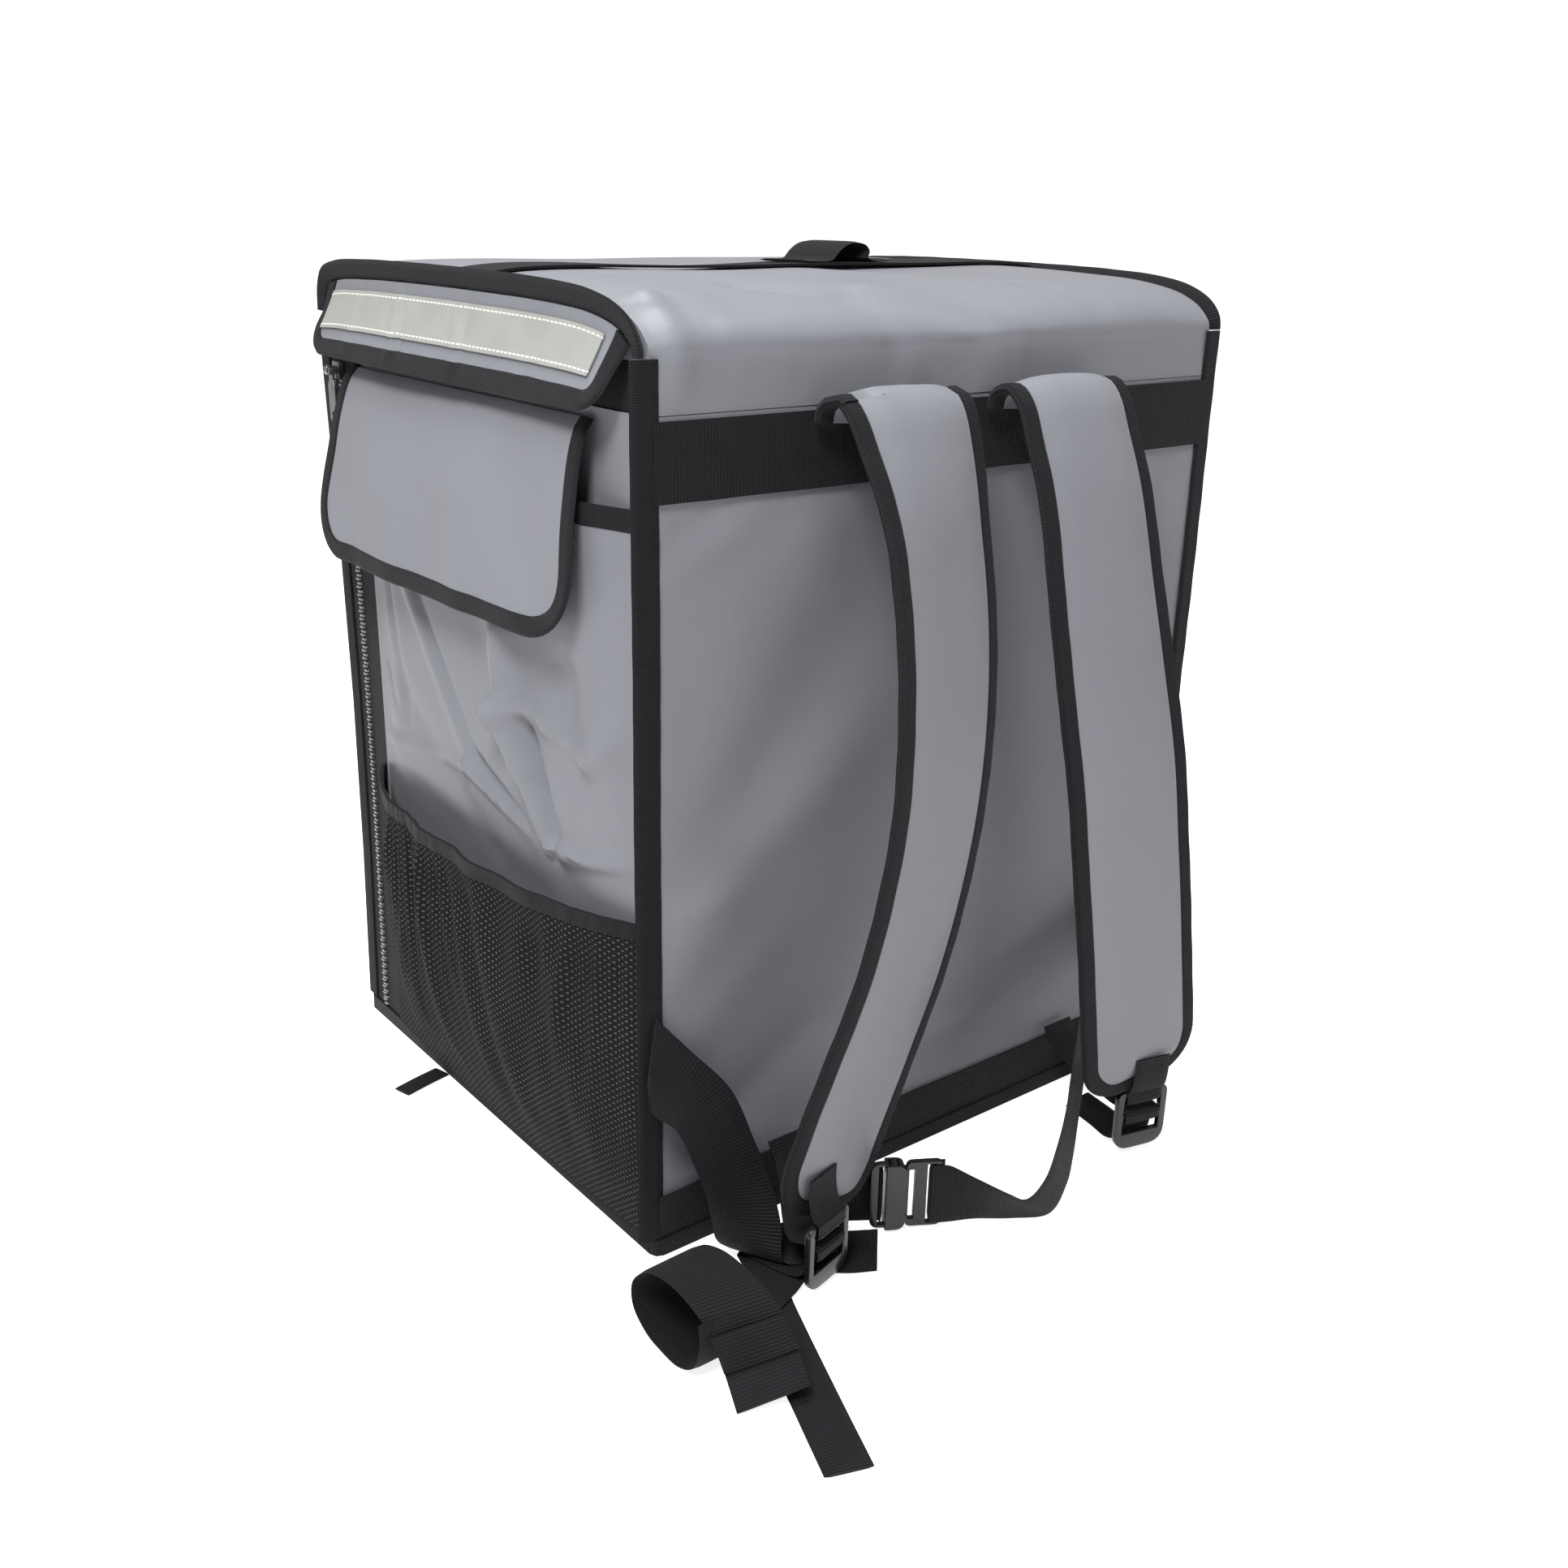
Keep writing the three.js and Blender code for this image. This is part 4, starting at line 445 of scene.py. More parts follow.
def lid_profile(t, off):
    """The lid's side profile, moved along its normal by a distance, and its unit tangent."""
    line = np.column_stack([LID_PROFILE[:, 0] * HALF_DEPTH, LID_BASE + LID_PROFILE[:, 1] * LID_HEIGHT])
    here = catmull(line, t)
    tangent = unit(catmull(line, np.minimum(t + 1e-4, 1)) - catmull(line, np.maximum(t - 1e-4, 0)))
    y = here[..., 0] - tangent[..., 1] * off
    z = np.maximum(here[..., 1] + tangent[..., 0] * off, LID_BASE)
    return y, z, tangent


def lid_crown(x, y):
    """Height of the lid's top over its profile: a sag, deepest in the middle, and a bell for each
    dent, all in parts of the crown's height."""
    across, along = x / HALF_WIDTH, y / HALF_DEPTH
    total = -LID_SAG * (1 - across**2) * np.maximum(0, 1 - along**2)
    for a, b, reach, depth in LID_DENTS:
        total = total - depth * bell(np.hypot(across - a, along - b), reach) * (1 - across**4)
    return total * LID_CROWN


def lid_point(x, t, off):
    """Profile point, lowered beside the side bindings and by the dents of the top."""
    tangent = lid_profile(t, 0)[2]
    upward = np.maximum(0, tangent[..., 0])
    sink = EDGE_SINK * np.abs(x / HALF_WIDTH) ** 10
    y, z, _ = lid_profile(t, off - sink * upward)
    return np.stack(np.broadcast_arrays(x, y, z + lid_crown(x, y) * upward), -1)


SHARES = np.linspace(0, 1, 4001)


def lid_share(y, inset=0.0):
    """The share along the lid's profile, moved in by inset, at which it reaches y."""
    return np.interp(y, lid_profile(SHARES, -inset)[0], SHARES)


def quarter_turn(v):
    """A direction in the plane, turned a quarter to the left."""
    return np.array([-v[1], v[0]])


def straight(start, end, count):
    """Points from start towards end at equal steps, without the end itself."""
    return start + (end - start) * (np.arange(count) / count)[:, None]


def round_corner(before, at, after, radius):
    """Points of the arc that joins two directions at a corner, turned from its first spoke."""
    turn = np.arccos(np.clip(before @ after, -1, 1))
    start = at - before * radius * np.tan(turn / 2)
    centre = start + quarter_turn(before) * radius
    angle = turn * np.linspace(0, 1, ARC_STEPS + 1)[:, None]
    spoke = start - centre
    return centre + spoke * np.cos(angle) + quarter_turn(spoke) * np.sin(angle)


def quad_outline(corners, radius, inset, down, across):
    """Left side, bottom and right side of a quadrilateral with round lower corners: its edges are
    moved in by inset and met again, and an arc joins them at each lower corner."""
    c = np.array(corners, float)
    way = [unit(c[1] - c[0]), unit(c[2] - c[1]), unit(c[3] - c[2])]

    def meet(p, pd, q, qd):
        """Where the line from p along pd crosses the line from q along qd."""
        apart = q - p
        return p + pd * (apart[0] * qd[1] - apart[1] * qd[0]) / (pd[0] * qd[1] - pd[1] * qd[0])

    on_left, on_bottom, on_right = (c[k] + quarter_turn(way[k]) * inset for k in range(3))
    low_left = meet(on_left, way[0], on_bottom, way[1])
    low_right = meet(on_bottom, way[1], on_right, way[2])
    high_left = meet(c[0], c[3] - c[0], on_left, way[0])
    high_right = meet(c[0], c[3] - c[0], on_right, way[2])
    size = max(radius - inset, 1)
    left_arc = round_corner(way[0], low_left, way[1], size)
    right_arc = round_corner(way[1], low_right, way[2], size)
    mid = ARC_STEPS // 2
    left = np.vstack([straight(high_left, left_arc[0], down), left_arc[:mid + 1]])
    bottom = np.vstack([left_arc[mid:], straight(left_arc[-1], right_arc[0], across)[1:],
                        right_arc[:mid + 1]])
    right = np.vstack([straight(high_right, right_arc[-1], down), right_arc[:mid - 1:-1]])
    return left, bottom, right


def outline_path(*outline):
    """The three sides of a quadrilateral's outline as one line."""
    left, bottom, right = quad_outline(*outline)
    return np.vstack([left, bottom[1:], right[-2::-1]])


def outline_grid(left, bottom, right):
    """Points inside an outline: the blend of its sides and the blend of its top and bottom, less the
    blend of its corners."""
    def shares(line):
        """Length along a line at each of its points, as a share of the whole."""
        lengths = np.concatenate([[0], np.cumsum(np.linalg.norm(np.diff(line, axis=0), axis=1))])
        return lengths / lengths[-1]

    s, t = shares(bottom)[None, :, None], shares(left)[:, None, None]
    top = left[0] * (1 - s) + right[0] * s
    sides = left[:, None] * (1 - s) + right[:, None] * s
    ends = top * (1 - t) + bottom[None] * t
    base = top * (1 - t) + (bottom[0] * (1 - s) + bottom[-1] * s) * t
    return sides + ends - base


def bound_flap(name, surface, facing, corners, radius, down, across, folds, looks):
    """A flap's cloth with slight folds, and the folded binding carried round its edge."""
    def loose(a, b):
        """The flap's surface, lifted by its folds along the way that it faces."""
        return surface(a, b) + np.asarray(facing, float) * flap_lift(a, b, folds)[..., None]

    grid = outline_grid(*quad_outline(corners, radius, BINDING - 1.5, down, across))
    obj = cloth_on(name + "_cloth", loose, facing, grid, 0.0, CLOTH, looks["cloth"],
                   covers=(name,), slot="coated_cloth")
    edges = []
    for inset in (0, BINDING):
        a, b = outline_path(corners, radius, inset, down, across).T
        edges.append(loose(a, b) + surface_normal(surface, a, b, facing) * CLOTH / 2)
    carried(name + "_edge", *edges, CLOTH + 1.7, looks["binding"], wave=0.04,
            covers=(name + "_binding",), slot="black_webbing")


# Materials

class Shader:
    """A material with a Principled shader and short calls to add and join nodes."""

    def __init__(self, name, colour, roughness, **values):
        self.material = bpy.data.materials.new(name)
        self.material.use_nodes = True
        self.tree = self.material.node_tree
        self.surface = self.tree.nodes["Principled BSDF"]
        self.surface.inputs["Base Color"].default_value = (*colour, 1)
        self.surface.inputs["Roughness"].default_value = roughness
        for key, value in values.items():
            self.surface.inputs[key.replace("_", " ")].default_value = value
        self.colour = (*colour, 1)

    def node(self, kind, links=(), **settings):
        """Adds a node: in_N sets its input N, links joins sockets to its inputs."""
        made = self.tree.nodes.new(kind)
        for key, value in settings.items():
            if key.startswith("in_"):
                made.inputs[int(key[3:])].default_value = value
            else:
                setattr(made, key, value)
        for socket, source in dict(links).items():
            self.tree.links.new(source, made.inputs[socket])
        return made

    def math(self, operation, a, b=None):
        """A sum or comparison of sockets and numbers."""
        links, settings = {}, {}
        for place, value in enumerate((a, b)):
            if value is None:
                continue
            if isinstance(value, (int, float)):
                settings[f"in_{place}"] = float(value)
            else:
                links[place] = value
        return self.node("ShaderNodeMath", links, operation=operation, **settings).outputs[0]

    def uv(self):
        """The piece's own map, in metres along and across its cloth."""
        return self.node("ShaderNodeUVMap", uv_map="UVMap").outputs[0]

    def place(self):
        """Places in the piece's own axes."""
        return self.node("ShaderNodeTexCoord").outputs["Object"]

    def ripple(self, vector, period, direction="X"):
        """A sine wave along one axis, with the given period in metres."""
        return self.node("ShaderNodeTexWave", {"Vector": vector}, bands_direction=direction,
                         in_1=math.pi / 10 / period, in_2=0.0).outputs["Fac"]

    def cloud(self, vector, scale, detail=3.0):
        """Soft noise with about scale lumps to the metre."""
        return self.node("ShaderNodeTexNoise", {"Vector": vector}, in_2=scale, in_3=detail).outputs["Fac"]

    def spread(self, factor, low, high):
        """Factor from 0 to 1, spread from low to high."""
        return self.node("ShaderNodeMapRange", {0: factor}, in_3=low, in_4=high).outputs[0]

    def tint(self, factor, low=0.85, high=1.15, source=None):
        """Multiplies the colour by a value between low and high, led by factor."""
        amount = self.spread(factor, low, high)
        made = self.node("ShaderNodeVectorMath", {1: amount}, operation="MULTIPLY")
        if source is None:
            made.inputs[0].default_value = self.colour[:3]
        else:
            self.tree.links.new(source, made.inputs[0])
        return made.outputs[0]

    def bump(self, height, distance, strength=1.0, below=None):
        """A bump of the given depth in metres, laid over the one below."""
        links = {"Height": height}
        if below is not None:
            links["Normal"] = below
        made = self.node("ShaderNodeBump", links)
        made.inputs["Distance"].default_value = distance
        made.inputs["Strength"].default_value = strength
        return made.outputs[0]

    def finish(self, colour=None, normal=None, roughness=None):
        """Joins what varies to the shader and gives the material."""
        for name, source in (("Base Color", colour), ("Normal", normal), ("Roughness", roughness)):
            if source is not None:
                self.tree.links.new(source, self.surface.inputs[name])
        return self.material


def coated_cloth(name, colour):
    """Smooth coated polyester: fine plain weave under a satin film, with soft handling marks."""
    s = Shader(name, colour, 0.42, Sheen_Weight=0.05, Sheen_Roughness=0.5, Specular_IOR_Level=0.3)
    uv = s.uv()
    weave = s.math("MULTIPLY", s.ripple(uv, WEAVE_PITCH), s.ripple(uv, WEAVE_PITCH, "Y"))
    marks = s.cloud(uv, 14.0, 4.0)
    crumple = s.cloud(uv, 70.0, 2.0)
    colour = s.tint(s.cloud(uv, 900.0, 2.0), 0.93, 1.07, s.tint(marks, 0.94, 1.05))
    normal = s.bump(weave, 0.00006, 0.5, s.bump(crumple, 0.0009, 0.3))
    return s.finish(colour, normal, s.spread(marks, 0.36, 0.5))


def ribbed(name, colour, period, across_period, roughness):
    """Woven ribbon: ribs across its length with a fine warp over them, soft wear, and painted shade in the
    grooves with painted highlight on the crests of the ribs.
    """
    s = Shader(name, colour, roughness, Sheen_Weight=0.04, Specular_IOR_Level=0.12)
    uv = s.uv()
    ribs = s.ripple(uv, period)
    warp = s.ripple(uv, across_period, "Y")
    wear = s.cloud(uv, 60.0, 4.0)
    height = s.math("ADD", ribs, s.math("MULTIPLY", warp, 0.5))
    # Colour led by the rib height: painted shade in the grooves and painted highlight on the crests; the
    # wear tint is a random tone.
    colour = s.tint(wear, 0.75, 1.3, s.tint(height, 0.45, 1.35))
    return s.finish(colour, s.bump(height, 0.00035, 0.8), s.spread(wear, roughness - 0.08, roughness + 0.1))


def reflective_tape(name, colour):
    """Cream reflective tape, slightly creased, with painted shade in the hollows and painted highlight on
    the ridges of its creases, and dashed stitching along both edges.
    """
    s = Shader(name, colour, 0.35, Metallic=0.15)
    uv = s.uv()
    split = s.node("ShaderNodeSeparateXYZ", {0: uv})
    along, across = split.outputs[0], split.outputs[1]
    dash = s.math("LESS_THAN", s.math("FRACT", s.math("DIVIDE", along, STITCH_PITCH)), 0.7)
    lines = (TAPE_START + TAPE_STITCH, TAPE_START + TAPE_WIDTH - TAPE_STITCH)
    rows = [s.math("LESS_THAN", s.math("ABSOLUTE", s.math("SUBTRACT", across, line * MM)), STITCH_HALF)
            for line in lines]
    stitch = s.math("MULTIPLY", dash, s.math("ADD", rows[0], rows[1]))
    crease = s.cloud(uv, 45.0, 3.0)
    # The tint follows the crease relief that also drives the bump: painted shade in its hollows and painted
    # highlight on its ridges.
    mix = s.node("ShaderNodeMix", {0: stitch, 6: s.tint(crease, 0.86, 1.1)}, data_type="RGBA")
    mix.inputs[7].default_value = (0.9, 0.89, 0.8, 1)
    normal = s.bump(stitch, 0.0004, 0.6, s.bump(crease, 0.0012, 0.35))
    return s.finish(mix.outputs[2], normal, s.spread(crease, 0.28, 0.5))


def net_cloth(name, colour):
    """Knitted net: rows of oval holes, where a cosine along times a cosine across is high, through
    which the pale cloth behind shows."""
    s = Shader(name, colour, 0.8, Specular_IOR_Level=0.12)
    uv = s.uv()
    split = s.node("ShaderNodeSeparateXYZ", {0: uv})
    waves = [s.math("COSINE", s.math("MULTIPLY", split.outputs[way], 2 * math.pi / pitch))
             for way, pitch in enumerate(NET_HOLE)]
    knit = s.math("MULTIPLY", *waves)
    holes = s.node("ShaderNodeMapRange", {0: knit}, in_1=0.5, in_2=0.72).outputs[0]
    depth = s.spread(s.cloud(uv, 25.0, 2.0), 0.1, 0.8)
    mix = s.node("ShaderNodeMix", {0: s.math("MULTIPLY", holes, depth),
                                   6: s.tint(s.ripple(uv, WEAVE_PITCH), 0.6, 1.3)}, data_type="RGBA")
    mix.inputs[7].default_value = (0.15, 0.15, 0.16, 1)
    return s.finish(mix.outputs[2], s.bump(knit, 0.0006, 0.7))


def moulded(name, colour, roughness):
    """Glossy moulded plastic with a faint grain and small scuffs."""
    s = Shader(name, colour, roughness, Specular_IOR_Level=0.5, Coat_Weight=0.2)
    where = s.place()
    grain = s.cloud(where, 1800.0, 2.0)
    scuffs = s.cloud(where, 120.0, 4.0)
    return s.finish(s.tint(scuffs, 0.8, 1.3), s.bump(grain, 0.00005, 0.4),
                    s.spread(scuffs, roughness - 0.08, roughness + 0.12))


def zip_metal(name, colour):
    """Dull plated metal with a brushed grain."""
    s = Shader(name, colour, 0.35, Metallic=1.0)
    where = s.place()
    grain = s.cloud(where, 600.0, 3.0)
    return s.finish(s.tint(grain, 0.8, 1.15), s.bump(grain, 0.00005, 0.4), s.spread(grain, 0.28, 0.45))


def looks_of(scene):
    """All materials, made once and kept by name."""
    colours, sizes = scene.backpack_colours, scene.backpack_sizes
    black = tuple(colours.webbing)
    recipes = {
        "cloth": (coated_cloth, tuple(colours.cloth)),
        "binding": (ribbed, black, sizes.binding_ribs, 0.0012, 0.62),
        "webbing": (ribbed, black, sizes.webbing_ribs, 0.0011, 0.55),
        "net": (net_cloth, black),
        "tape": (reflective_tape, tuple(colours.tape)),
        "plastic": (moulded, tuple(colours.plastic), 0.24),
        "metal": (zip_metal, tuple(colours.metal)),
    }
    for key, (make, *values) in recipes.items():
        if "bag_" + key not in bpy.data.materials:
            make("bag_" + key, *values)
    return {key: bpy.data.materials["bag_" + key] for key in recipes}


def rounded_copy(node, name, material, width, body=BAG):
    """A copy of a frame solid, its doubles merged and its edges rounded, that stands for it."""
    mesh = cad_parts[node].data.copy()
    mesh.name = name
    obj = bpy.data.objects.new(name, mesh)
    bpy.context.scene.collection.objects.link(obj)
    merge_doubles(mesh)
    unfold(mesh)
    mesh.materials.clear()
    mesh.materials.append(material)
    mesh.polygons.foreach_set("use_smooth", np.ones(len(mesh.polygons), dtype=bool))
    mesh.polygons.foreach_set("material_index", np.zeros(len(mesh.polygons), dtype=np.int32))
    bevel = obj.modifiers.new("Rounding", "BEVEL")
    bevel.width = width * MM
    bevel.segments = 3
    bevel.limit_method = "ANGLE"
    bevel.angle_limit = math.radians(28)
    bevel.harden_normals = True
    bevel.use_clamp_overlap = True
    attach(obj, body)
    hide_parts(node)


def merge_doubles(mesh):
    """Joins a mesh's doubled corners and the triangles of its flat faces."""
    work = bmesh.new()
    work.from_mesh(mesh)
    bmesh.ops.remove_doubles(work, verts=work.verts, dist=1e-6)
    bmesh.ops.dissolve_limit(work, angle_limit=math.radians(1), verts=work.verts, edges=work.edges)
    work.to_mesh(mesh)
    work.free()


def unfold(mesh):
    """Gives a mesh a map: its longest way along, and the sum of its two other ways across."""
    layer = mesh.uv_layers.get("UVMap") or mesh.uv_layers.new(name="UVMap")
    co = np.zeros(len(mesh.vertices) * 3)
    mesh.vertices.foreach_get("co", co)
    co = co.reshape(-1, 3)
    order = np.argsort(-np.ptp(co, axis=0))
    loops = np.zeros(len(mesh.loops), dtype=np.int32)
    mesh.loops.foreach_get("vertex_index", loops)
    flat = np.stack([co[:, order[0]], co[:, order[1]] + co[:, order[2]]], -1)
    layer.data.foreach_set("uv", flat[loops].ravel())


# Pieces

def build_body(looks):
    """The bag's cover: an outline of four faces and four round corners, carried from the middle
    of the base up the outside, over the rim and down the inside. The strap panel gets folds."""
    per_face, per_corner = 44, 5

    def outline(z, off, folds):
        """One ring round the bag at a height, moved out by off."""
        radius = max(CORNER + off, 1.0)
        x, y = HALF_WIDTH - CORNER, HALF_DEPTH - CORNER
        u = np.linspace(-1, 1, per_face)
        height = np.full(per_face, float(z))
        back = back_point(u * x, height, off)
        if folds:
            back[:, 1] -= (1 - np.abs(u) ** 8) * back_lift(u * x, height)
        right = side_point(1, u * y, height, off)
        front = np.stack([-u * x, drawn_in(np.full(per_face, HALF_DEPTH), height) + off, height], -1)
        left = side_point(-1, -u * y, height, off)
        if folds:
            right[:, 0] += (1 - u**6) * noise(u * y, height, 8, size=110)
            front[:, 1] += (1 - u**6) * noise(u * x, height, 9, size=110)

        def corner(cx, cy, start):
            """A quarter circle between two faces, drawn in as they are."""
            angle = start + np.pi / 2 * np.arange(1, per_corner) / per_corner
            cy = drawn_in(np.array(float(cy)), np.array(float(z)))
            return np.stack([cx + radius * np.cos(angle), cy + radius * np.sin(angle),
                             np.full(per_corner - 1, float(z))], -1)

        return np.concatenate([back, corner(x, -y, -np.pi / 2), right, corner(x, y, 0), front,
                               corner(-x, y, np.pi / 2), left, corner(-x, -y, np.pi)])

    levels = np.linspace(0, 1, 72) * BODY_HEIGHT
    outside = [outline(z, 0, True) for z in levels]
    inside = [outline(z, -WALL, False) for z in np.linspace(BODY_HEIGHT, WALL, 6)]
    rings = np.array(outside + inside)
    rows, count = rings.shape[:2]
    faces = grid_faces(rows, count, closed=True)
    low, high = rows * count, rows * count + 1
    j = np.arange(count)
    k = (j + 1) % count
    faces += np.stack([np.full(count, low), k, j], -1).tolist()
    last = (rows - 1) * count
    faces += np.stack([np.full(count, high), last + j, last + k], -1).tolist()
    points = np.vstack([rings.reshape(-1, 3), [[0, 0, 0]], [[0, 0, WALL]]])
    girth = np.concatenate([[0], np.cumsum(np.linalg.norm(np.diff(rings[0], axis=0), axis=1))])
    uv = np.stack([np.broadcast_to(girth, (rows, count)), rings[..., 2]], -1).reshape(-1, 2)
    uv = np.vstack([uv, [[0, 0], [0, 0]]]) * MM
    obj = publish("bag_cover", points, faces, uv, looks["cloth"], covers=("body_shell",),
                  slot="coated_cloth")


def build_lid(looks):
    """The padded lid: its side profile drawn across the width, sunk beside the bindings, with
    soft dents and folds, and a wall under each end."""
    margin = np.linspace(186, 200, 8)
    x = np.concatenate([-margin[::-1], np.linspace(-182, 182, 84), margin])
    t = np.linspace(0, 1, 110)
    wide, deep = np.meshgrid(x, t)

    def sheet(off):
        """The lid moved along its normal, with a straight fall to the body behind it."""
        base = lid_point(wide, deep, off)
        if off == 0:
            y = base[..., 1]
            lift = ridges(wide, np.where(base[..., 2] < 484, -178.0, y), LID_FOLDS)
            lift = lift + 0.5 * noise(wide, y, 12, size=90)
            lift = lift * (1 - np.abs(wide / HALF_WIDTH) ** 12)
            tangent = lid_profile(deep, 0)[2]
            base = base + np.stack([0 * wide, -tangent[..., 1] * lift, tangent[..., 0] * lift], -1)
        rim = np.stack([x, np.full_like(x, -HALF_DEPTH - off), np.full_like(x, BODY_HEIGHT + GAP)], -1)
        between = rim + (base[0] - rim) * np.linspace(0, 1, 8)[:-1, None, None]
        return np.concatenate([between, base])

    top, under = sheet(0.0), sheet(-WALL)
    points, faces = slab(top, under)
    uv = np.stack([top[..., 0], -top[..., 1] + top[..., 2]], -1).reshape(-1, 2)
    uv = np.concatenate([uv, uv]) * MM
    for side in (-1, 1):
        edge = lid_point(np.full(40, side * HALF_WIDTH), np.linspace(0.03, 0.97, 40), -WALL / 2)
        edge[:, 0] = side * (HALF_WIDTH - GAP)
        foot = edge.copy()
        foot[:, 2] = LID_BASE
        outer = np.stack([foot, edge])
        inner = outer - np.array([side * WALL, 0, 0])
        more, quads = slab(outer, inner)
        if side < 0:
            quads = [q[::-1] for q in quads]
        faces += [[v + len(points) for v in q] for q in quads]
        points = np.concatenate([points, more])
        uv = np.concatenate([uv, more[:, 1:] * MM])
    obj = publish("lid_cover", points, faces, uv, looks["cloth"], covers=("lid",), slot="coated_cloth")


def side_flap(side):
    """Surface of a lid side flap: y along it, and a share of its drop; it stands off further
    towards its lower edge, with a slow wave."""
    t = np.linspace(0, 1, 2001)
    top_y, top_z, _ = lid_profile(t, -(BINDING + GAP))

    def surface(y, share):
        """Out from the side by a power of the share down, with a sine of y."""
        reach = HALF_DEPTH - BINDING - GAP - 1
        top = np.interp(np.clip(y, -reach, reach), top_y, top_z)
        down = 1 - share / FLAP_DROP
        z = top + (BODY_HEIGHT - top) * down
        lift = 1.6 + FLAP_LIFT * np.maximum(down, 0) ** 1.3 + 1.2 * np.sin(y / 34) * down
        return np.stack(np.broadcast_arrays(side * (HALF_WIDTH + lift), y, z), -1)

    return surface


def build_lid_flaps(looks):
    """Three rain flaps over the zip, each a cloth with a folded binding, and the reflective tape."""
    corners = [(FLAP_NEAR[0] * HALF_DEPTH, FLAP_DROP), (FLAP_NEAR[1] * HALF_DEPTH, 0),
               (FLAP_FAR[1] * HALF_DEPTH, 0), (FLAP_FAR[0] * HALF_DEPTH, FLAP_DROP)]
    for word, side in (("left", -1), ("right", 1)):
        bound_flap(f"lid_flap_{word}", side_flap(side), (side, 0, 0), corners, FLAP_ROUND, 8, 60,
                   FLAP_FOLDS, looks)

    def front(x, share):
        """Down from the lid's edge, and out by the root of the share down."""
        down = 1 - share / FRONT_DROP
        z = LID_TOP - 12 - FRONT_DROP * down
        y = HALF_DEPTH - 4.2 + 1.3 * FLAP_LIFT * np.sqrt(np.maximum(down, 0))
        return np.stack(np.broadcast_arrays(x, y, z), -1)

    reach = HALF_WIDTH - 4
    corners = [(-reach, FRONT_DROP), (-reach, 0), (reach, 0), (reach, FRONT_DROP)]
    bound_flap("lid_flap_front", front, (0, 1, 0), corners, FRONT_ROUND, 10, 60, (), looks)
    surface = side_flap(-1)

    def taped(y, share):
        """The left flap's surface with the same folds."""
        base = surface(y, share)
        base[..., 0] -= flap_lift(y, share, FLAP_FOLDS)
        return base

    share = np.linspace(TAPE_START, TAPE_START + TAPE_WIDTH, 8)[:, None]
    up = share / FLAP_DROP
    near = (FLAP_NEAR[1] + (FLAP_NEAR[0] - FLAP_NEAR[1]) * up) * HALF_DEPTH + BINDING + 5
    far = (FLAP_FAR[1] + (FLAP_FAR[0] - FLAP_FAR[1]) * up) * HALF_DEPTH - BINDING - 2
    along = near + (far - near) * np.linspace(0, 1, 90)[None, :]
    grid = np.stack([along, np.broadcast_to(share, along.shape)], -1)
    obj = cloth_on("reflective_tape", taped, (-1, 0, 0), grid, CLOTH + 0.5, CLOTH + 1.3, looks["tape"],
                   covers=("reflective_strip",), slot="reflective_tape")


def build_arches(looks):
    """The lid's side bindings: strips between its profile and the profile moved in."""
    t = np.linspace(0.02, 0.995, 120)
    for word, side, lean in (("left", -1, 0.0), ("right", 1, ARCH_LEAN)):
        rows = []
        for off, out in ((0, GAP + BINDING_THICK + lean), (-BINDING, GAP)):
            y, z, _ = lid_profile(t, off)
            rows.append(np.stack([side * (HALF_WIDTH + out + BINDING_THICK / 2) + 0 * y, y, z], -1))
        carried(f"arch_edge_{word}", *rows, BINDING_THICK, looks["binding"], wave=0.08,
                covers=(f"arch_binding_{word}",), slot="black_webbing")


def build_seams(looks):
    """Bindings of the upright seams beside the strap panel, with a slow sine down them, and rounded
    copies of the solids elsewhere."""
    z = np.linspace(POCKET_FOOT, LID_BASE + 2, 90)
    for number, side in ((1, -1), (2, 1)):
        lines = []
        for out, off in ((-4, 0.7), (BINDING, GAP - BINDING_THICK / 2)):
            y = -HALF_DEPTH - off + 0.25 * np.sin(z / 31)
            lines.append(np.stack([side * (HALF_WIDTH + out) + 0 * z, y, z], -1))
        carried(f"seam_edge_{number}", *lines, BINDING_THICK, looks["binding"], wave=0.1,
                covers=(f"corner_binding_{number}",), slot="black_webbing")
    for node, name, width in (("corner_binding_3", "seam_edge_3", 0.7),
                              ("corner_binding_4", "seam_edge_4", 0.7),
                              ("base_binding", "foot_edge", 0.8), ("lid_zip", "lid_zip_tape", 0.4)):
        rounded_copy(node, name, looks["binding"], width)


def build_bands(looks):
    """Flat webbing across the strap panel and the lid, on the surfaces of both."""
    def on_back(a, b):
        """The strap panel with its folds."""
        lift = back_lift(a, b)
        return back_point(a, b, 0) - np.stack([0 * a, lift, 0 * a], -1)

    def on_lid(a, b):
        """The lid's top at a place given by its X and Y."""
        return lid_point(a, lid_share(b), 0)

    x = np.linspace(-199.0, 199.0, 90)
    for node, (low, high) in (("upper_band", UPPER_BAND), ("bottom_band", BOTTOM_BAND)):
        grid = np.stack(np.meshgrid(x, np.linspace(low, high, 6)), -1)
        cloth_on(node + "_ribbon", on_back, (0, -1, 0), grid, GAP, GAP + WEBBING_THICK,
                 looks["webbing"], covers=(node,), slot="black_webbing")
    x = np.linspace(-199.5, 199.5, 100)
    grid = np.stack(np.meshgrid(x, np.linspace(*TOP_BAND, 6)), -1)
    cloth_on("lid_ribbon", on_lid, (0, 0, 1), grid, 0.9, 2.3, looks["webbing"], covers=("top_band",),
             slot="black_webbing")


def build_bindings(looks):
    """Bindings of the lid's arches and of the seams, and the flat bands."""
    build_arches(looks)
    build_seams(looks)
    build_bands(looks)


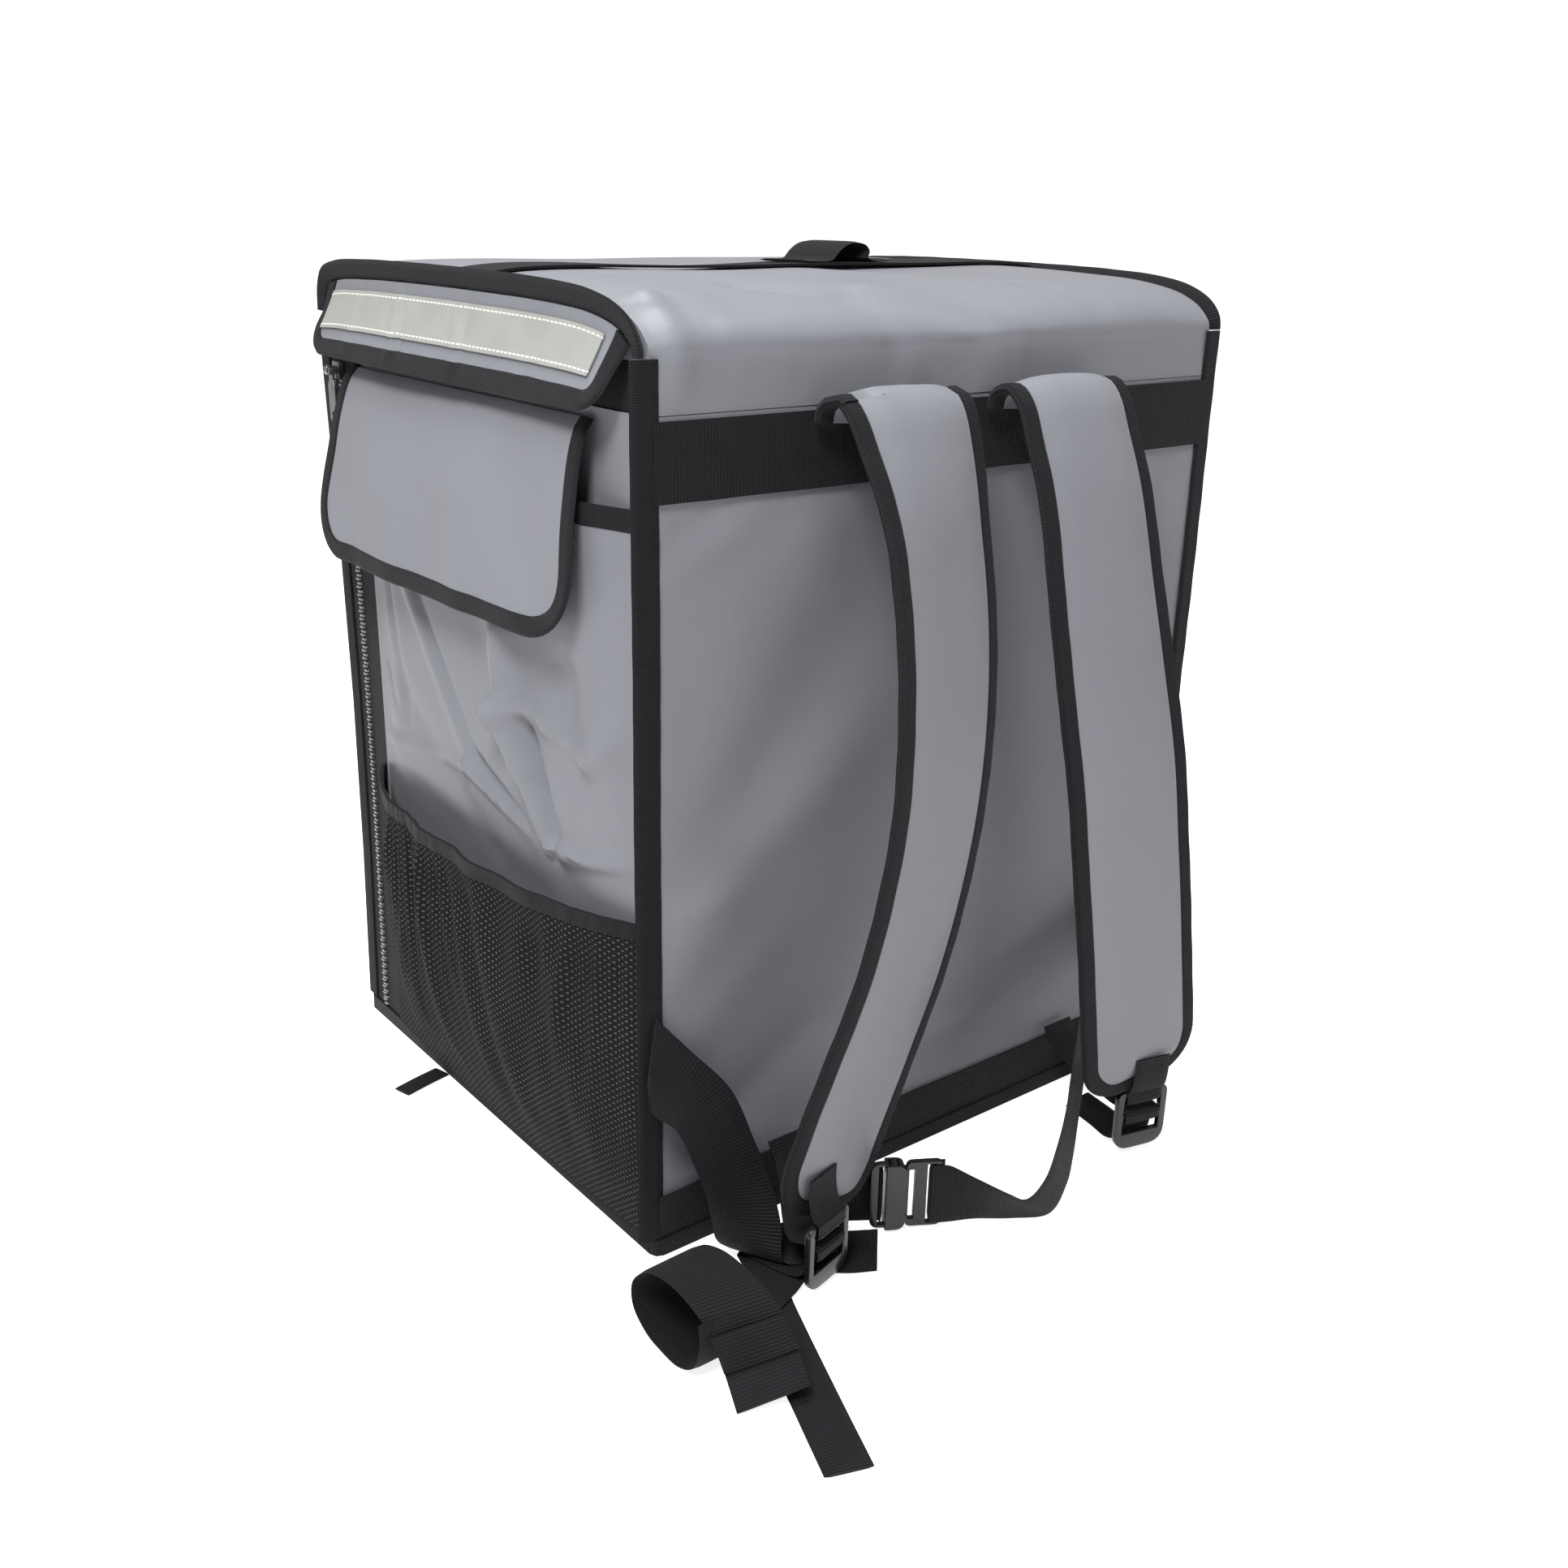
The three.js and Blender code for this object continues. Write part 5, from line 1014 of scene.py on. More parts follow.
def pocket_off(y, z):
    """How far the pocket panel stands off: a smooth bulge that dies at its seams, with folds."""
    across = np.clip((y - POCKET_NEAR) / (POCKET_FAR - POCKET_NEAR), 0, 1)
    up = np.clip((z - POCKET_FOOT) / (POCKET_TOP - POCKET_FOOT), 0, 1)
    edge = np.minimum(1, np.minimum(6 * across, 6 * (1 - across))) * np.minimum(1, 5 * up)
    smooth = edge * edge * (3 - 2 * edge)
    above = smoothstep(z, MESH_TOP - 40, MESH_TOP + 40)
    return GAP + smooth * POCKET_BULGE * (0.35 + above * (0.5 + 0.5 * fold_lift(y, z)))


def fold_lift(y, z):
    """Sum of bells of the distance from each of the pocket's folds, times its lift."""
    total = 0
    for *ends, width, lift in POCKET_FOLDS:
        distance, _ = from_segment(y, z, *ends)
        total = total + lift * bell(distance, width)
    return total * bpy.context.scene.backpack_sizes.fold_depth


def net_off(y, z):
    """How far the net stands off: powers of a sine across and of a sine up, with small gathers."""
    across = np.clip((y - POCKET_NEAR) / (POCKET_FAR - POCKET_NEAR), 0, 1)
    up = np.clip((z - POCKET_FOOT) / (MESH_TOP - POCKET_FOOT), 0, 1)
    side = np.sin(np.pi * across) ** 0.6
    height = np.sin(np.pi * (0.02 + 0.7 * up)) ** 0.7
    gathers = 1 + 0.06 * np.sin(across * 34) * up
    return pocket_off(y, z) + CLOTH + 2 * GAP + MESH_BULGE * side * height * gathers


def build_pockets(looks):
    """The loose pocket panel, its binding and flap, and the gathered net with its elastic."""
    facing = (-1, 0, 0)
    y = np.linspace(POCKET_NEAR, POCKET_FAR, 110)

    def panel(a, b):
        """The side panel, with the pocket's bulge and creases that die at its seams and its foot."""
        inside = smoothstep(a, POCKET_NEAR, POCKET_NEAR + 30)
        inside = inside * (1 - smoothstep(a, POCKET_FAR - 30, POCKET_FAR))
        lift = POCKET_BULGE * inside * ridges(a, b, POCKET_CREASES)
        return side_point(-1, a, b, pocket_off(a, b) + lift * smoothstep(b, MESH_TOP - 20, MESH_TOP + 10))

    grid = np.stack(np.meshgrid(y, np.linspace(POCKET_FOOT, POCKET_TOP, 130)), -1)
    obj = cloth_on("pocket_cloth", panel, facing, grid, 0, CLOTH, looks["cloth"],
                   covers=("pocket_panel",), slot="coated_cloth")
    mouth = np.linspace(POCKET_TOP + GAP, POCKET_TOP + BINDING, 5)
    grid = np.stack(np.meshgrid(y, mouth), -1)
    cloth_on("pocket_mouth_edge", panel, facing, grid, -0.2, CLOTH + 0.6, looks["binding"],
             covers=("pocket_mouth_binding",), slot="black_webbing")

    def net(a, b):
        """The net's bulge, with two sines as pleats that grow upwards and calm at the elastic."""
        across = (a - POCKET_NEAR) / (POCKET_FAR - POCKET_NEAR)
        up = (b - POCKET_FOOT) / (MESH_TOP - POCKET_FOOT)
        hold = np.sin(np.pi * np.clip(across, 0, 1)) ** 0.5
        lean = across * 60 + 6 * up * np.sin(across * 9)
        pleats = (np.sin(lean) + 0.6 * np.sin(lean * 2.3 + 1)) * np.clip(up, 0, 1) ** 1.2
        pleats = pleats * (1 - 0.85 * smoothstep(up, 0.82, 0.97))
        slack = ridges(a, b, NET_FOLDS) * smoothstep(up, 0, 0.3) * (1 - smoothstep(up, 0.8, 1))
        return side_point(-1, a, b, net_off(a, b) + hold * (2.3 * pleats + slack))

    y = np.linspace(POCKET_NEAR, POCKET_FAR, 220)
    top = MESH_TOP - ELASTIC
    grid = np.stack(np.meshgrid(y, np.linspace(POCKET_FOOT, top, 70)), -1)
    obj = cloth_on("net_cloth", net, facing, grid, 0, 1.0, looks["net"], covers=("mesh_pocket",), slot="net")
    grid = np.stack(np.meshgrid(y, np.linspace(top + 0.2, MESH_TOP, 6)), -1)
    cloth_on("net_elastic", net, facing, grid, -0.4, 1.9, looks["binding"], covers=("mesh_elastic",),
             slot="black_webbing")

    def flap(a, share):
        """Out from the side by a power of the share down."""
        down = 1 - share / POCKET_FLAP_DROP
        lift = 2.2 + 26.0 * np.maximum(down, 0) ** 0.6 + 0.02 * a * np.maximum(down, 0)
        return side_point(-1, a, POCKET_FLAP_TOP - POCKET_FLAP_DROP * down, lift)

    corners = [(-135, POCKET_FLAP_DROP), (-147, 0), (149, 0), (139, POCKET_FLAP_DROP)]
    bound_flap("pocket_flap", flap, facing, corners, POCKET_FLAP_ROUND, 16, 60, POCKET_FLAP_FOLDS,
               looks)


def build_zip(looks):
    """The upright zip: its tape, a row of small teeth made from one block, slider and puller."""
    def on_side(a, b):
        """The left side panel, a gap off."""
        return side_point(-1, a, b, GAP)

    grid = np.stack(np.meshgrid(np.linspace(POCKET_FAR + GAP, HALF_DEPTH - BINDING + 2 - GAP, 12),
                                np.linspace(POCKET_FOOT, BODY_HEIGHT - GAP, 60)), -1)
    cloth_on("zip_cloth", on_side, (-1, 0, 0), grid, 0, CLOTH, looks["binding"],
             covers=("side_zip_tape",), slot="black_webbing")
    z = np.arange(*ZIP_ENDS, bpy.context.scene.backpack_sizes.tooth_pitch / MM)
    side = np.where(np.arange(len(z)) % 2, 1.0, -1.0)
    base = side_point(-1, ZIP_LINE + side * 0.9, z, GAP + CLOTH + GAP)
    block = np.array([(x, y, h) for x in (0.0, -1.6) for y in (-2.0, 2.0) for h in (-0.8, 0.8)])
    block[:, 1:] *= np.where(block[:, :1] < 0, 0.8, 1.0)
    points = (base[:, None] + block[None]).reshape(-1, 3)
    quads = np.array([(0, 1, 3, 2), (4, 6, 7, 5), (0, 4, 5, 1), (2, 3, 7, 6), (0, 2, 6, 4), (1, 5, 7, 3)])
    faces = (np.arange(len(z))[:, None, None] * 8 + quads[None]).reshape(-1, 4).tolist()
    publish("zip_teeth", points, faces, points[:, 1:] * MM, looks["metal"], covers=("side_zip_teeth",),
            slot="metal", smooth=False)
    rounded_copy("zip_slider", "slider_body", looks["metal"], 0.35)
    rounded_copy("zip_puller", "slider_puller", looks["metal"], 0.25, body=PULLER)


def strap_surface(side):
    """Middle surface of a strap: a line through its places, and its width turned about the line."""
    places = np.array(STRAP_PLACES[side])
    points = np.stack([places[:, 0], -HALF_DEPTH - places[:, 1], places[:, 2]], -1)
    t = np.linspace(0, 1, 4001)
    line = catmull(points, t)
    lengths = np.concatenate([[0], np.cumsum(np.linalg.norm(np.diff(line, axis=0), axis=1))])
    length = lengths[-1]
    turn, start, stop = STRAP_TURN[side]

    def surface(a, b):
        """The line's point a length of b back along it, and a across it."""
        down = -b
        share = np.clip(down / length, 0, 1)
        where = np.interp(share * length, lengths, t)
        here = catmull(points, where)
        ahead = catmull(points, np.minimum(where + 5e-4, 1))
        behind = catmull(points, np.maximum(where - 5e-4, 0))
        along = unit(ahead - behind)
        here = here + along * (down - share * length)[..., None]
        across = np.array([1.0, 0, 0]) - along * along[..., :1]
        across = unit(across)
        angle = -np.radians(turn * smoothstep(share, start, stop))[..., None]
        across = across * np.cos(angle) + np.cross(along, across) * np.sin(angle)
        return here + across * np.asarray(a)[..., None]

    return surface, length


def strap_lift(surface, a, b, off):
    """A strap's surface moved along its normal by off."""
    across = surface(a + 0.25, b) - surface(a - 0.25, b)
    down = surface(a, b - 0.25) - surface(a, b + 0.25)
    return surface(a, b) - unit(np.cross(across, down)) * np.asarray(off)[..., None]


def build_straps(looks):
    """Padded straps: a crowned pad on each strap's middle surface, puckered along the stitching,
    with a folded binding carried round its edge."""
    half = STRAP_WIDTH / 2
    for seed, side in enumerate(("left", "right")):
        surface, length = strap_surface(side)
        corners = [(-half, 0), (-half, -length), (half, -length), (half, 0)]
        grid = outline_grid(*quad_outline(corners, STRAP_ROUND, BINDING - 1.0, 110, 10))
        grid = np.concatenate([grid[:, :1], (grid[:, :-1] + grid[:, 1:]) / 2, grid[:, -1:]], 1)
        a, b = grid[..., 0], grid[..., 1]
        share = np.clip(np.abs(a) / (half - BINDING), 0, 1)
        end = np.clip((length + b - BINDING + 1) / 14, 0, 1)
        crown = STRAP_EDGE + (STRAP_THICK - STRAP_EDGE) * (1 - share**3) * (1 - (1 - end) ** 3)
        crown = crown + 1.1 * noise(a * 0.6, b, 30 + seed, size=85) * (1 - share**4)
        pucker = 0.35 * share**4 * np.sin(b / 3.4 + seed) + 0.45 * noise(a * 2, b, 20 + seed, size=60)
        thick = (crown + pucker * (1 - share**8)) / 2
        top, under = strap_lift(surface, a, b, thick), strap_lift(surface, a, b, -thick)
        points, faces = slab(top, under)
        uv = np.concatenate([grid.reshape(-1, 2)] * 2) * MM
        obj = publish(f"strap_pad_{side}", points, faces, uv, looks["cloth"], covers=(f"strap_{side}",),
                      slot="coated_cloth")
        edges = []
        for inset in (0, BINDING):
            a, b = outline_path(corners, STRAP_ROUND, inset, 110, 10).T
            edges.append(strap_lift(surface, a, b, 0 * a))
        carried(f"strap_edge_{side}", *edges, STRAP_EDGE + 0.4, looks["binding"], wave=0.05,
                covers=(f"strap_{side}_binding",), slot="black_webbing")


def lock_place(side, up, off):
    """A place beside a ladder lock, up along Z and off along the way it faces, and the direction
    across the lock."""
    centre, turn, _ = LOCKS[side]
    angle = math.radians(turn)
    wide = np.array([math.cos(angle), math.sin(angle), 0.0])
    out = np.array([math.sin(angle), -math.cos(angle), 0.0])
    at = np.array([centre[0], centre[1] - HALF_DEPTH, centre[2]]) + out * off + np.array([0, 0, up])
    return at, wide


def build_adjusters(looks):
    """Strap ends: the sewn tab through the lock, and the adjuster over its middle bar."""
    wrap = LOCK_THICK / 2 + WEBBING_THICK / 2 + GAP
    bar, low = 0.33 * LOCK_HEIGHT, 0.1 * LOCK_HEIGHT
    top = LOCK_HEIGHT / 2
    flat = 0.3 + WEBBING_THICK / 2
    tails = {
        "left": (-115, [((-142, -245, 7), (0.97, 0.26, 0)), ((-145, -237, 5), (0.95, 0.3, 0)),
                        ((-152, -212, 4.9), (0.94, 0.34, 0)), ((-154, -206.5, 4.3), (0.94, 0.35, 0)),
                        ((-154.7, -204.7, 2.9), (0.94, 0.35, 0)), ((-155, -207, 1.5), (0.94, 0.35, 0)),
                        ((-157, -214, flat), (0.94, 0.35, 0)), ((-178, -257, flat), (0.93, -0.37, 0)),
                        ((-204, -326, flat), (0.94, -0.36, 0)), ((-219, -367, flat), (0.94, -0.34, 0))]),
        "right": (112, [((100, -262, 8), (0.97, -0.2, 0)), ((103, -252, 2.6), (0.98, -0.15, 0)),
                        ((108, -234, flat), (0.98, 0, 0)), ((112, -208, flat), (0.98, 0.1, 0))]),
    }
    for side, (anchor_x, tail) in tails.items():
        front = LOCKS[side][2] + WEBBING_THICK / 2 + GAP
        step = wrap - front
        tab = [lock_place(side, *place) for place in (
            (top + 25, front), (top + 15, front), (top + 7, front + step * 0.2),
            (top + 2.4, front + step * 0.55), (top + 0.6, wrap), (bar + 3, wrap), (bar - 0.2, wrap),
            (bar - 1.8, 0), (bar - 0.2, -wrap), (bar + 4.5, -wrap))]
        webbing(f"strap_end_{side}", tab, NARROW, looks["webbing"], covers=(f"strap_{side}_tab",),
                slot="black_webbing")
        below = low - LOCK_BAR
        places = [((anchor_x, -185, 48), (1, 0, 0)), ((anchor_x, -193, 38), (1, 0, 0))]
        places += [lock_place(side, *place) for place in (
            (low + 1, -16), (low + 2.2, -wrap - 1.6), (low + 1.7, 0), (low + 0.2, wrap - 0.2),
            ((low + below) / 2, wrap), (below - 0.2, wrap - 0.2), (below - 1.7, 0),
            (below - 2.6, -wrap - 0.4))]
        webbing(f"adjuster_strip_{side}", places + tail, NARROW, looks["webbing"],
                covers=(f"adjuster_{side}",), slot="black_webbing")


def buckle_place(along, out):
    """A place beside the buckle: along its belt, and out along the way it faces."""
    direction = unit(np.array(BUCKLE_ALONG))
    facing = np.cross(direction, (0, 0, 1))
    return np.array(BUCKLE_START) + direction * along + facing * out


UPRIGHT = (0, 0, 38)

# Waist belt: places of each strip, as a centre and a direction across it
BELTS = {
    "waist_belt_left": [
        ((-206, -185.5, 132), (9, 3, 47)), ((-197, -191, 114), (28, 2, 30)),
        ((-183, -200, 97), (38, 0, 12)), ((-175, -208, 72), (40, -3, 3)),
        ((-168, -213, 46), (38, -14, -3)), ((-166, -217, 27), (31, -26, -3)),
        ((-166, -219, 14), (24, -36, -1)), ((-162, -220, 8), (20, -38, 0)),
        ((-149, -222, 7), (7, -38, 0)), ((-131, -223, 8), (-8, -36, 4)),
        ((-118, -221, 12), (-10, -30, 18)), ((-107, -222, 20), (-4, -14, 34)),
        (buckle_place(-4, -3.3), UPRIGHT), (buckle_place(2, -3.1), UPRIGHT),
        (buckle_place(5.2, -3), UPRIGHT), (buckle_place(7, -0.5), UPRIGHT)],
    "belt_floor": [
        ((-204.6, -245, 3), (0, -38, 0)), ((-187, -243, 3), (8, -38, 0)),
        ((-166, -236, 3), (10, -37, 0)), ((-148, -230, 3), (0, -38, 0)),
        ((-131, -233, 2.5), (-10, -37, 0)), ((-113, -242, 1.1), (-22, -31, 0)),
        ((-99, -250, 1.1), (-26, -29, 0))],
    "belt_tail": [
        ((-224, -280, 38), (38, 0, 0)), ((-224, -281, 24), (38, 0, 0)), ((-224, -275, 9), (38, 0, 0)),
        ((-224, -262, 1.8), (38, 0, 0)), ((-224, -248, 1.5), (38, 0, 0)), ((-224, -234, 4), (38, 0, 0)),
        ((-225, -224, 14), (38, 0, 0)), ((-226, -224, 29), (38, 0, 1)), ((-227, -234, 42), (38, 0, 1)),
        ((-226, -248, 48), (38, -3, 1)), ((-225, -265, 48.5), (38, -6, 1)),
        ((-222, -281, 41), (37, -10, 3)), ((-218, -290, 28), (35, -13, 6)),
        ((-217, -297, 16), (33.5, -15, 9)), ((-222, -314, 6.5), (34, -14, 9))],
    "waist_belt_right": [
        (buckle_place(43.5, -3.4), UPRIGHT), (buckle_place(38.5, -3.1), UPRIGHT),
        (buckle_place(35.4, -2.6), UPRIGHT), (buckle_place(34.4, 0), UPRIGHT),
        (buckle_place(35.4, 2.6), UPRIGHT), (buckle_place(38.5, 3.1), UPRIGHT),
        (buckle_place(45, 3), (-2, 1, 38)), ((-41, -266, 20), (-10, -7, 36)),
        ((-27, -282, 17.5), (-18, -13, 31)), ((-12, -288, 14.5), (-28, -6, 25)),
        ((12, -280, 17), (-31, -9, 21)), ((31, -269, 24), (-28, -10, 24)),
        ((49, -257, 37), (-29, -13, 22)), ((68, -243, 51), (-29, -13, 22)),
        ((120, -208, 88), (-14, -5, 35)), ((197, -186, 131), UPRIGHT)],
}


def build_belts(looks):
    """The waist belt's four strips and the hem folded over its curled end."""
    for node, places in BELTS.items():
        webbing(node + "_strip", places, WIDE, looks["webbing"], steps=10, covers=(node,),
                slot="black_webbing")
    hem = unit(np.array([-0.34, -0.79, 0.5])) * (WEBBING_THICK + 0.3)
    webbing("belt_hem", [(np.array(at) + hem, across) for at, across in (
        ((-219.4, -288, 31.5), (36, -12, 5)), ((-218, -292.5, 24), (35, -13, 6)),
        ((-217.2, -297, 16), (33.5, -15, 9)))], WIDE + 0.6, looks["webbing"], slot="black_webbing")
    webbing("base_loop", [((-205.4, 67, 1.05), (-0.28, 1, 0)), ((-222, 63, 1.3), (-0.28, 1, 0)),
                          ((-238, 59, 1.05), (-0.28, 1, 0))], LOOP_WIDTH, looks["webbing"],
            covers=("base_tab",), slot="black_webbing")


def build_handle(looks):
    """The grab handle: a loop over the lid's band, as shares of its span and rise."""
    loop = [(-0.5, 0), (0, 0), (0.1, 0.12), (0.22, 0.5), (0.42, 0.88), (0.66, 1), (0.88, 0.84),
            (0.97, 0.5), (0.94, 0.12), (1.06, 0), (1.5, 0)]
    seat = 0.8 + WEBBING_THICK * 1.5 + GAP
    places = []
    for share, rise in loop:
        x = np.array(HANDLE_FOOT + share * HANDLE_SPAN)
        at = lid_point(x, lid_share(np.array(HANDLE_LINE)), seat)
        places.append((at + np.array([0, 0, rise * HANDLE_RISE]), (0.4, -0.92, 0)))
    webbing("handle_loop", places, WIDE - 4, looks["webbing"], covers=("grab_handle",),
            slot="black_webbing")


def build_fittings(looks):
    """Moulded locks and buckle halves, with their edges rounded."""
    for node in ("ladder_lock_left", "ladder_lock_right", "buckle_female", "buckle_male"):
        rounded_copy(node, node + "_moulding", looks["plastic"], 0.8)


# Stage

def camera_at(place, azimuth, pitch, roll, lens):
    """A camera turned about the upright axis, then down, then about its own line of sight."""
    data = bpy.data.cameras.new("photo_camera")
    data.lens = lens
    data.sensor_width = SENSOR
    data.clip_end = 50
    camera = bpy.data.objects.new("photo_camera", data)
    bpy.context.scene.collection.objects.link(camera)
    turn = Matrix.Rotation(math.radians(azimuth), 4, "Z")
    turn = turn @ Matrix.Rotation(math.radians(90 - pitch), 4, "X")
    turn = turn @ Matrix.Rotation(math.radians(roll), 4, "Z")
    camera.matrix_world = Matrix.Translation(Vector(place) * MM) @ turn
    bpy.context.scene.camera = camera


def soft_light(name, place, target, size, power):
    """A square lamp of the given side in metres, turned towards its target."""
    data = bpy.data.lights.new(name, "AREA")
    data.shape = "RECTANGLE"
    data.size = data.size_y = size
    data.energy = power
    light = bpy.data.objects.new(name, data)
    light.location = place
    light.rotation_euler = (Vector(target) - Vector(place)).to_track_quat("-Z", "Y").to_euler()
    bpy.context.scene.collection.objects.link(light)


def seen_as(tree, socket, lit, seen):
    """Gives a strength one value where it lights the scene and another where it is looked at."""
    path = tree.nodes.new("ShaderNodeLightPath").outputs["Is Camera Ray"]
    choice = tree.nodes.new("ShaderNodeMapRange")
    choice.inputs["To Min"].default_value = lit
    choice.inputs["To Max"].default_value = seen
    tree.links.new(path, choice.inputs["Value"])
    tree.links.new(choice.outputs[0], socket)


def build_floor(colour):
    """A large square floor of slightly uneven white paint."""
    side = FLOOR_HALF
    corners = [(-side, -side, 0), (side, -side, 0), (side, side, 0), (-side, side, 0)]
    mesh = bpy.data.meshes.new("floor")
    mesh.from_pydata(corners, [], [(0, 1, 2, 3)])
    floor = bpy.data.objects.new("floor", mesh)
    bpy.context.scene.collection.objects.link(floor)
    s = Shader("floor_paint", colour, 0.7, Specular_IOR_Level=0.2)
    seen_as(s.tree, s.surface.inputs["Emission Strength"], FLOOR_LIT, FLOOR_SEEN)
    mesh.materials.append(s.finish(s.tint(s.cloud(s.place(), 3.0), 0.99, 1.01)))


def build_stage(settings):
    """White floor and surround, two soft lights, and the camera of the photograph."""
    build_floor(tuple(settings.floor))
    world = bpy.data.worlds.new("surround")
    world.use_nodes = True
    background = world.node_tree.nodes["Background"]
    background.inputs[0].default_value = (1, 1, 1, 1)
    seen_as(world.node_tree, background.inputs[1], settings.surround, SURROUND_SEEN)
    bpy.context.scene.world = world
    soft_light("key", (-1.05, -0.75, 1.75), (-0.1, -0.1, 0.25), 0.5, settings.key_power)
    soft_light("top", (-0.3, 0.2, 2.6), (0, 0, 0.4), 1.2, settings.top_power)
    camera_at(CAMERA_PLACE, *CAMERA_TURN, settings.lens)
    bpy.context.scene.view_settings.view_transform = "Standard"


# Add-on

class BackpackColours(bpy.types.PropertyGroup):
    """Colours of the bag's materials"""
    cloth: FloatVectorProperty(name="Cloth", description="Colour of the coated cloth", subtype="COLOR",
                               default=(0.195, 0.2, 0.222), min=0, max=1)
    webbing: FloatVectorProperty(name="Webbing", description="Colour of webbing and bindings",
                                 subtype="COLOR", default=(0.008, 0.0085, 0.0098), min=0, max=1)
    tape: FloatVectorProperty(name="Tape", description="Colour of the reflective tape", subtype="COLOR",
                              default=(0.35, 0.36, 0.335), min=0, max=1)
    plastic: FloatVectorProperty(name="Plastic", description="Colour of the moulded fittings",
                                 subtype="COLOR", default=(0.008, 0.008, 0.0095), min=0, max=1)
    metal: FloatVectorProperty(name="Metal", description="Colour of the zip", subtype="COLOR",
                               default=(0.36, 0.36, 0.36), min=0, max=1)


class BackpackSizes(bpy.types.PropertyGroup):
    """Sizes of the bag's fine detail"""
    fold_depth: FloatProperty(name="Fold Depth", description="Depth of the folds, as a share of the usual",
                              subtype="FACTOR", default=1.0, min=0, max=1.5)
    webbing_ribs: FloatProperty(name="Webbing Ribs", description="Distance between ribs of webbing",
                                subtype="DISTANCE", default=0.0019, min=0.0005, max=0.01)
    binding_ribs: FloatProperty(name="Binding Ribs", description="Distance between ribs of bindings",
                                subtype="DISTANCE", default=0.0012, min=0.0005, max=0.01)
    tooth_pitch: FloatProperty(name="Tooth Pitch", description="Distance between the zip's teeth",
                               subtype="DISTANCE", default=0.0026, min=0.002, max=0.01)


class BackpackStage(bpy.types.PropertyGroup):
    """Floor, lights and lens"""
    floor: FloatVectorProperty(name="Floor", description="Colour of the floor", subtype="COLOR",
                               default=(0.93, 0.93, 0.93), min=0, max=1)
    surround: FloatProperty(name="Surround", description="Light given by the white surround",
                            default=0.4, min=0, max=5)
    key_power: FloatProperty(name="Key Light", description="Power of the light beside the pocket",
                             subtype="POWER", default=34, min=0, max=500)
    top_power: FloatProperty(name="Top Light", description="Power of the light above",
                             subtype="POWER", default=52, min=0, max=500)
    lens: FloatProperty(name="Lens", description="Focal length of the camera",
                        subtype="DISTANCE_CAMERA", default=FOCAL_PIXELS / IMAGE_SIDE * SENSOR,
                        min=10, max=200)


class BACKPACK_OT_body(bpy.types.Operator):
    """Build the bag's padded cover"""
    bl_idname = "backpack.body"
    bl_label = "Body"
    bl_options = {"REGISTER", "UNDO"}

    def execute(self, context):
        build_body(looks_of(context.scene))
        return {"FINISHED"}


class BACKPACK_OT_lid(bpy.types.Operator):
    """Build the padded lid"""
    bl_idname = "backpack.lid"
    bl_label = "Lid"
    bl_options = {"REGISTER", "UNDO"}

    def execute(self, context):
        build_lid(looks_of(context.scene))
        return {"FINISHED"}


class BACKPACK_OT_lid_flaps(bpy.types.Operator):
    """Build the rain flaps and the reflective tape"""
    bl_idname = "backpack.lid_flaps"
    bl_label = "Lid Flaps"
    bl_options = {"REGISTER", "UNDO"}

    def execute(self, context):
        build_lid_flaps(looks_of(context.scene))
        return {"FINISHED"}


class BACKPACK_OT_bindings(bpy.types.Operator):
    """Build seam bindings and flat bands"""
    bl_idname = "backpack.bindings"
    bl_label = "Bindings"
    bl_options = {"REGISTER", "UNDO"}

    def execute(self, context):
        build_bindings(looks_of(context.scene))
        return {"FINISHED"}


class BACKPACK_OT_pockets(bpy.types.Operator):
    """Build the side pocket, its flap and the net"""
    bl_idname = "backpack.pockets"
    bl_label = "Pockets"
    bl_options = {"REGISTER", "UNDO"}

    def execute(self, context):
        build_pockets(looks_of(context.scene))
        return {"FINISHED"}


class BACKPACK_OT_zip(bpy.types.Operator):
    """Build the upright zip"""
    bl_idname = "backpack.zip"
    bl_label = "Zip"
    bl_options = {"REGISTER", "UNDO"}

    def execute(self, context):
        build_zip(looks_of(context.scene))
        return {"FINISHED"}


class BACKPACK_OT_straps(bpy.types.Operator):
    """Build the padded shoulder straps"""
    bl_idname = "backpack.straps"
    bl_label = "Straps"
    bl_options = {"REGISTER", "UNDO"}

    def execute(self, context):
        build_straps(looks_of(context.scene))
        return {"FINISHED"}


class BACKPACK_OT_adjusters(bpy.types.Operator):
    """Build strap ends and adjusters"""
    bl_idname = "backpack.adjusters"
    bl_label = "Adjusters"
    bl_options = {"REGISTER", "UNDO"}

    def execute(self, context):
        build_adjusters(looks_of(context.scene))
        return {"FINISHED"}


class BACKPACK_OT_belts(bpy.types.Operator):
    """Build the waist belt and the loop under the base"""
    bl_idname = "backpack.belts"
    bl_label = "Belts"
    bl_options = {"REGISTER", "UNDO"}

    def execute(self, context):
        build_belts(looks_of(context.scene))
        return {"FINISHED"}


class BACKPACK_OT_handle(bpy.types.Operator):
    """Build the grab handle"""
    bl_idname = "backpack.handle"
    bl_label = "Handle"
    bl_options = {"REGISTER", "UNDO"}

    def execute(self, context):
        build_handle(looks_of(context.scene))
        return {"FINISHED"}


class BACKPACK_OT_fittings(bpy.types.Operator):
    """Build locks and buckle"""
    bl_idname = "backpack.fittings"
    bl_label = "Fittings"
    bl_options = {"REGISTER", "UNDO"}

    def execute(self, context):
        build_fittings(looks_of(context.scene))
        return {"FINISHED"}


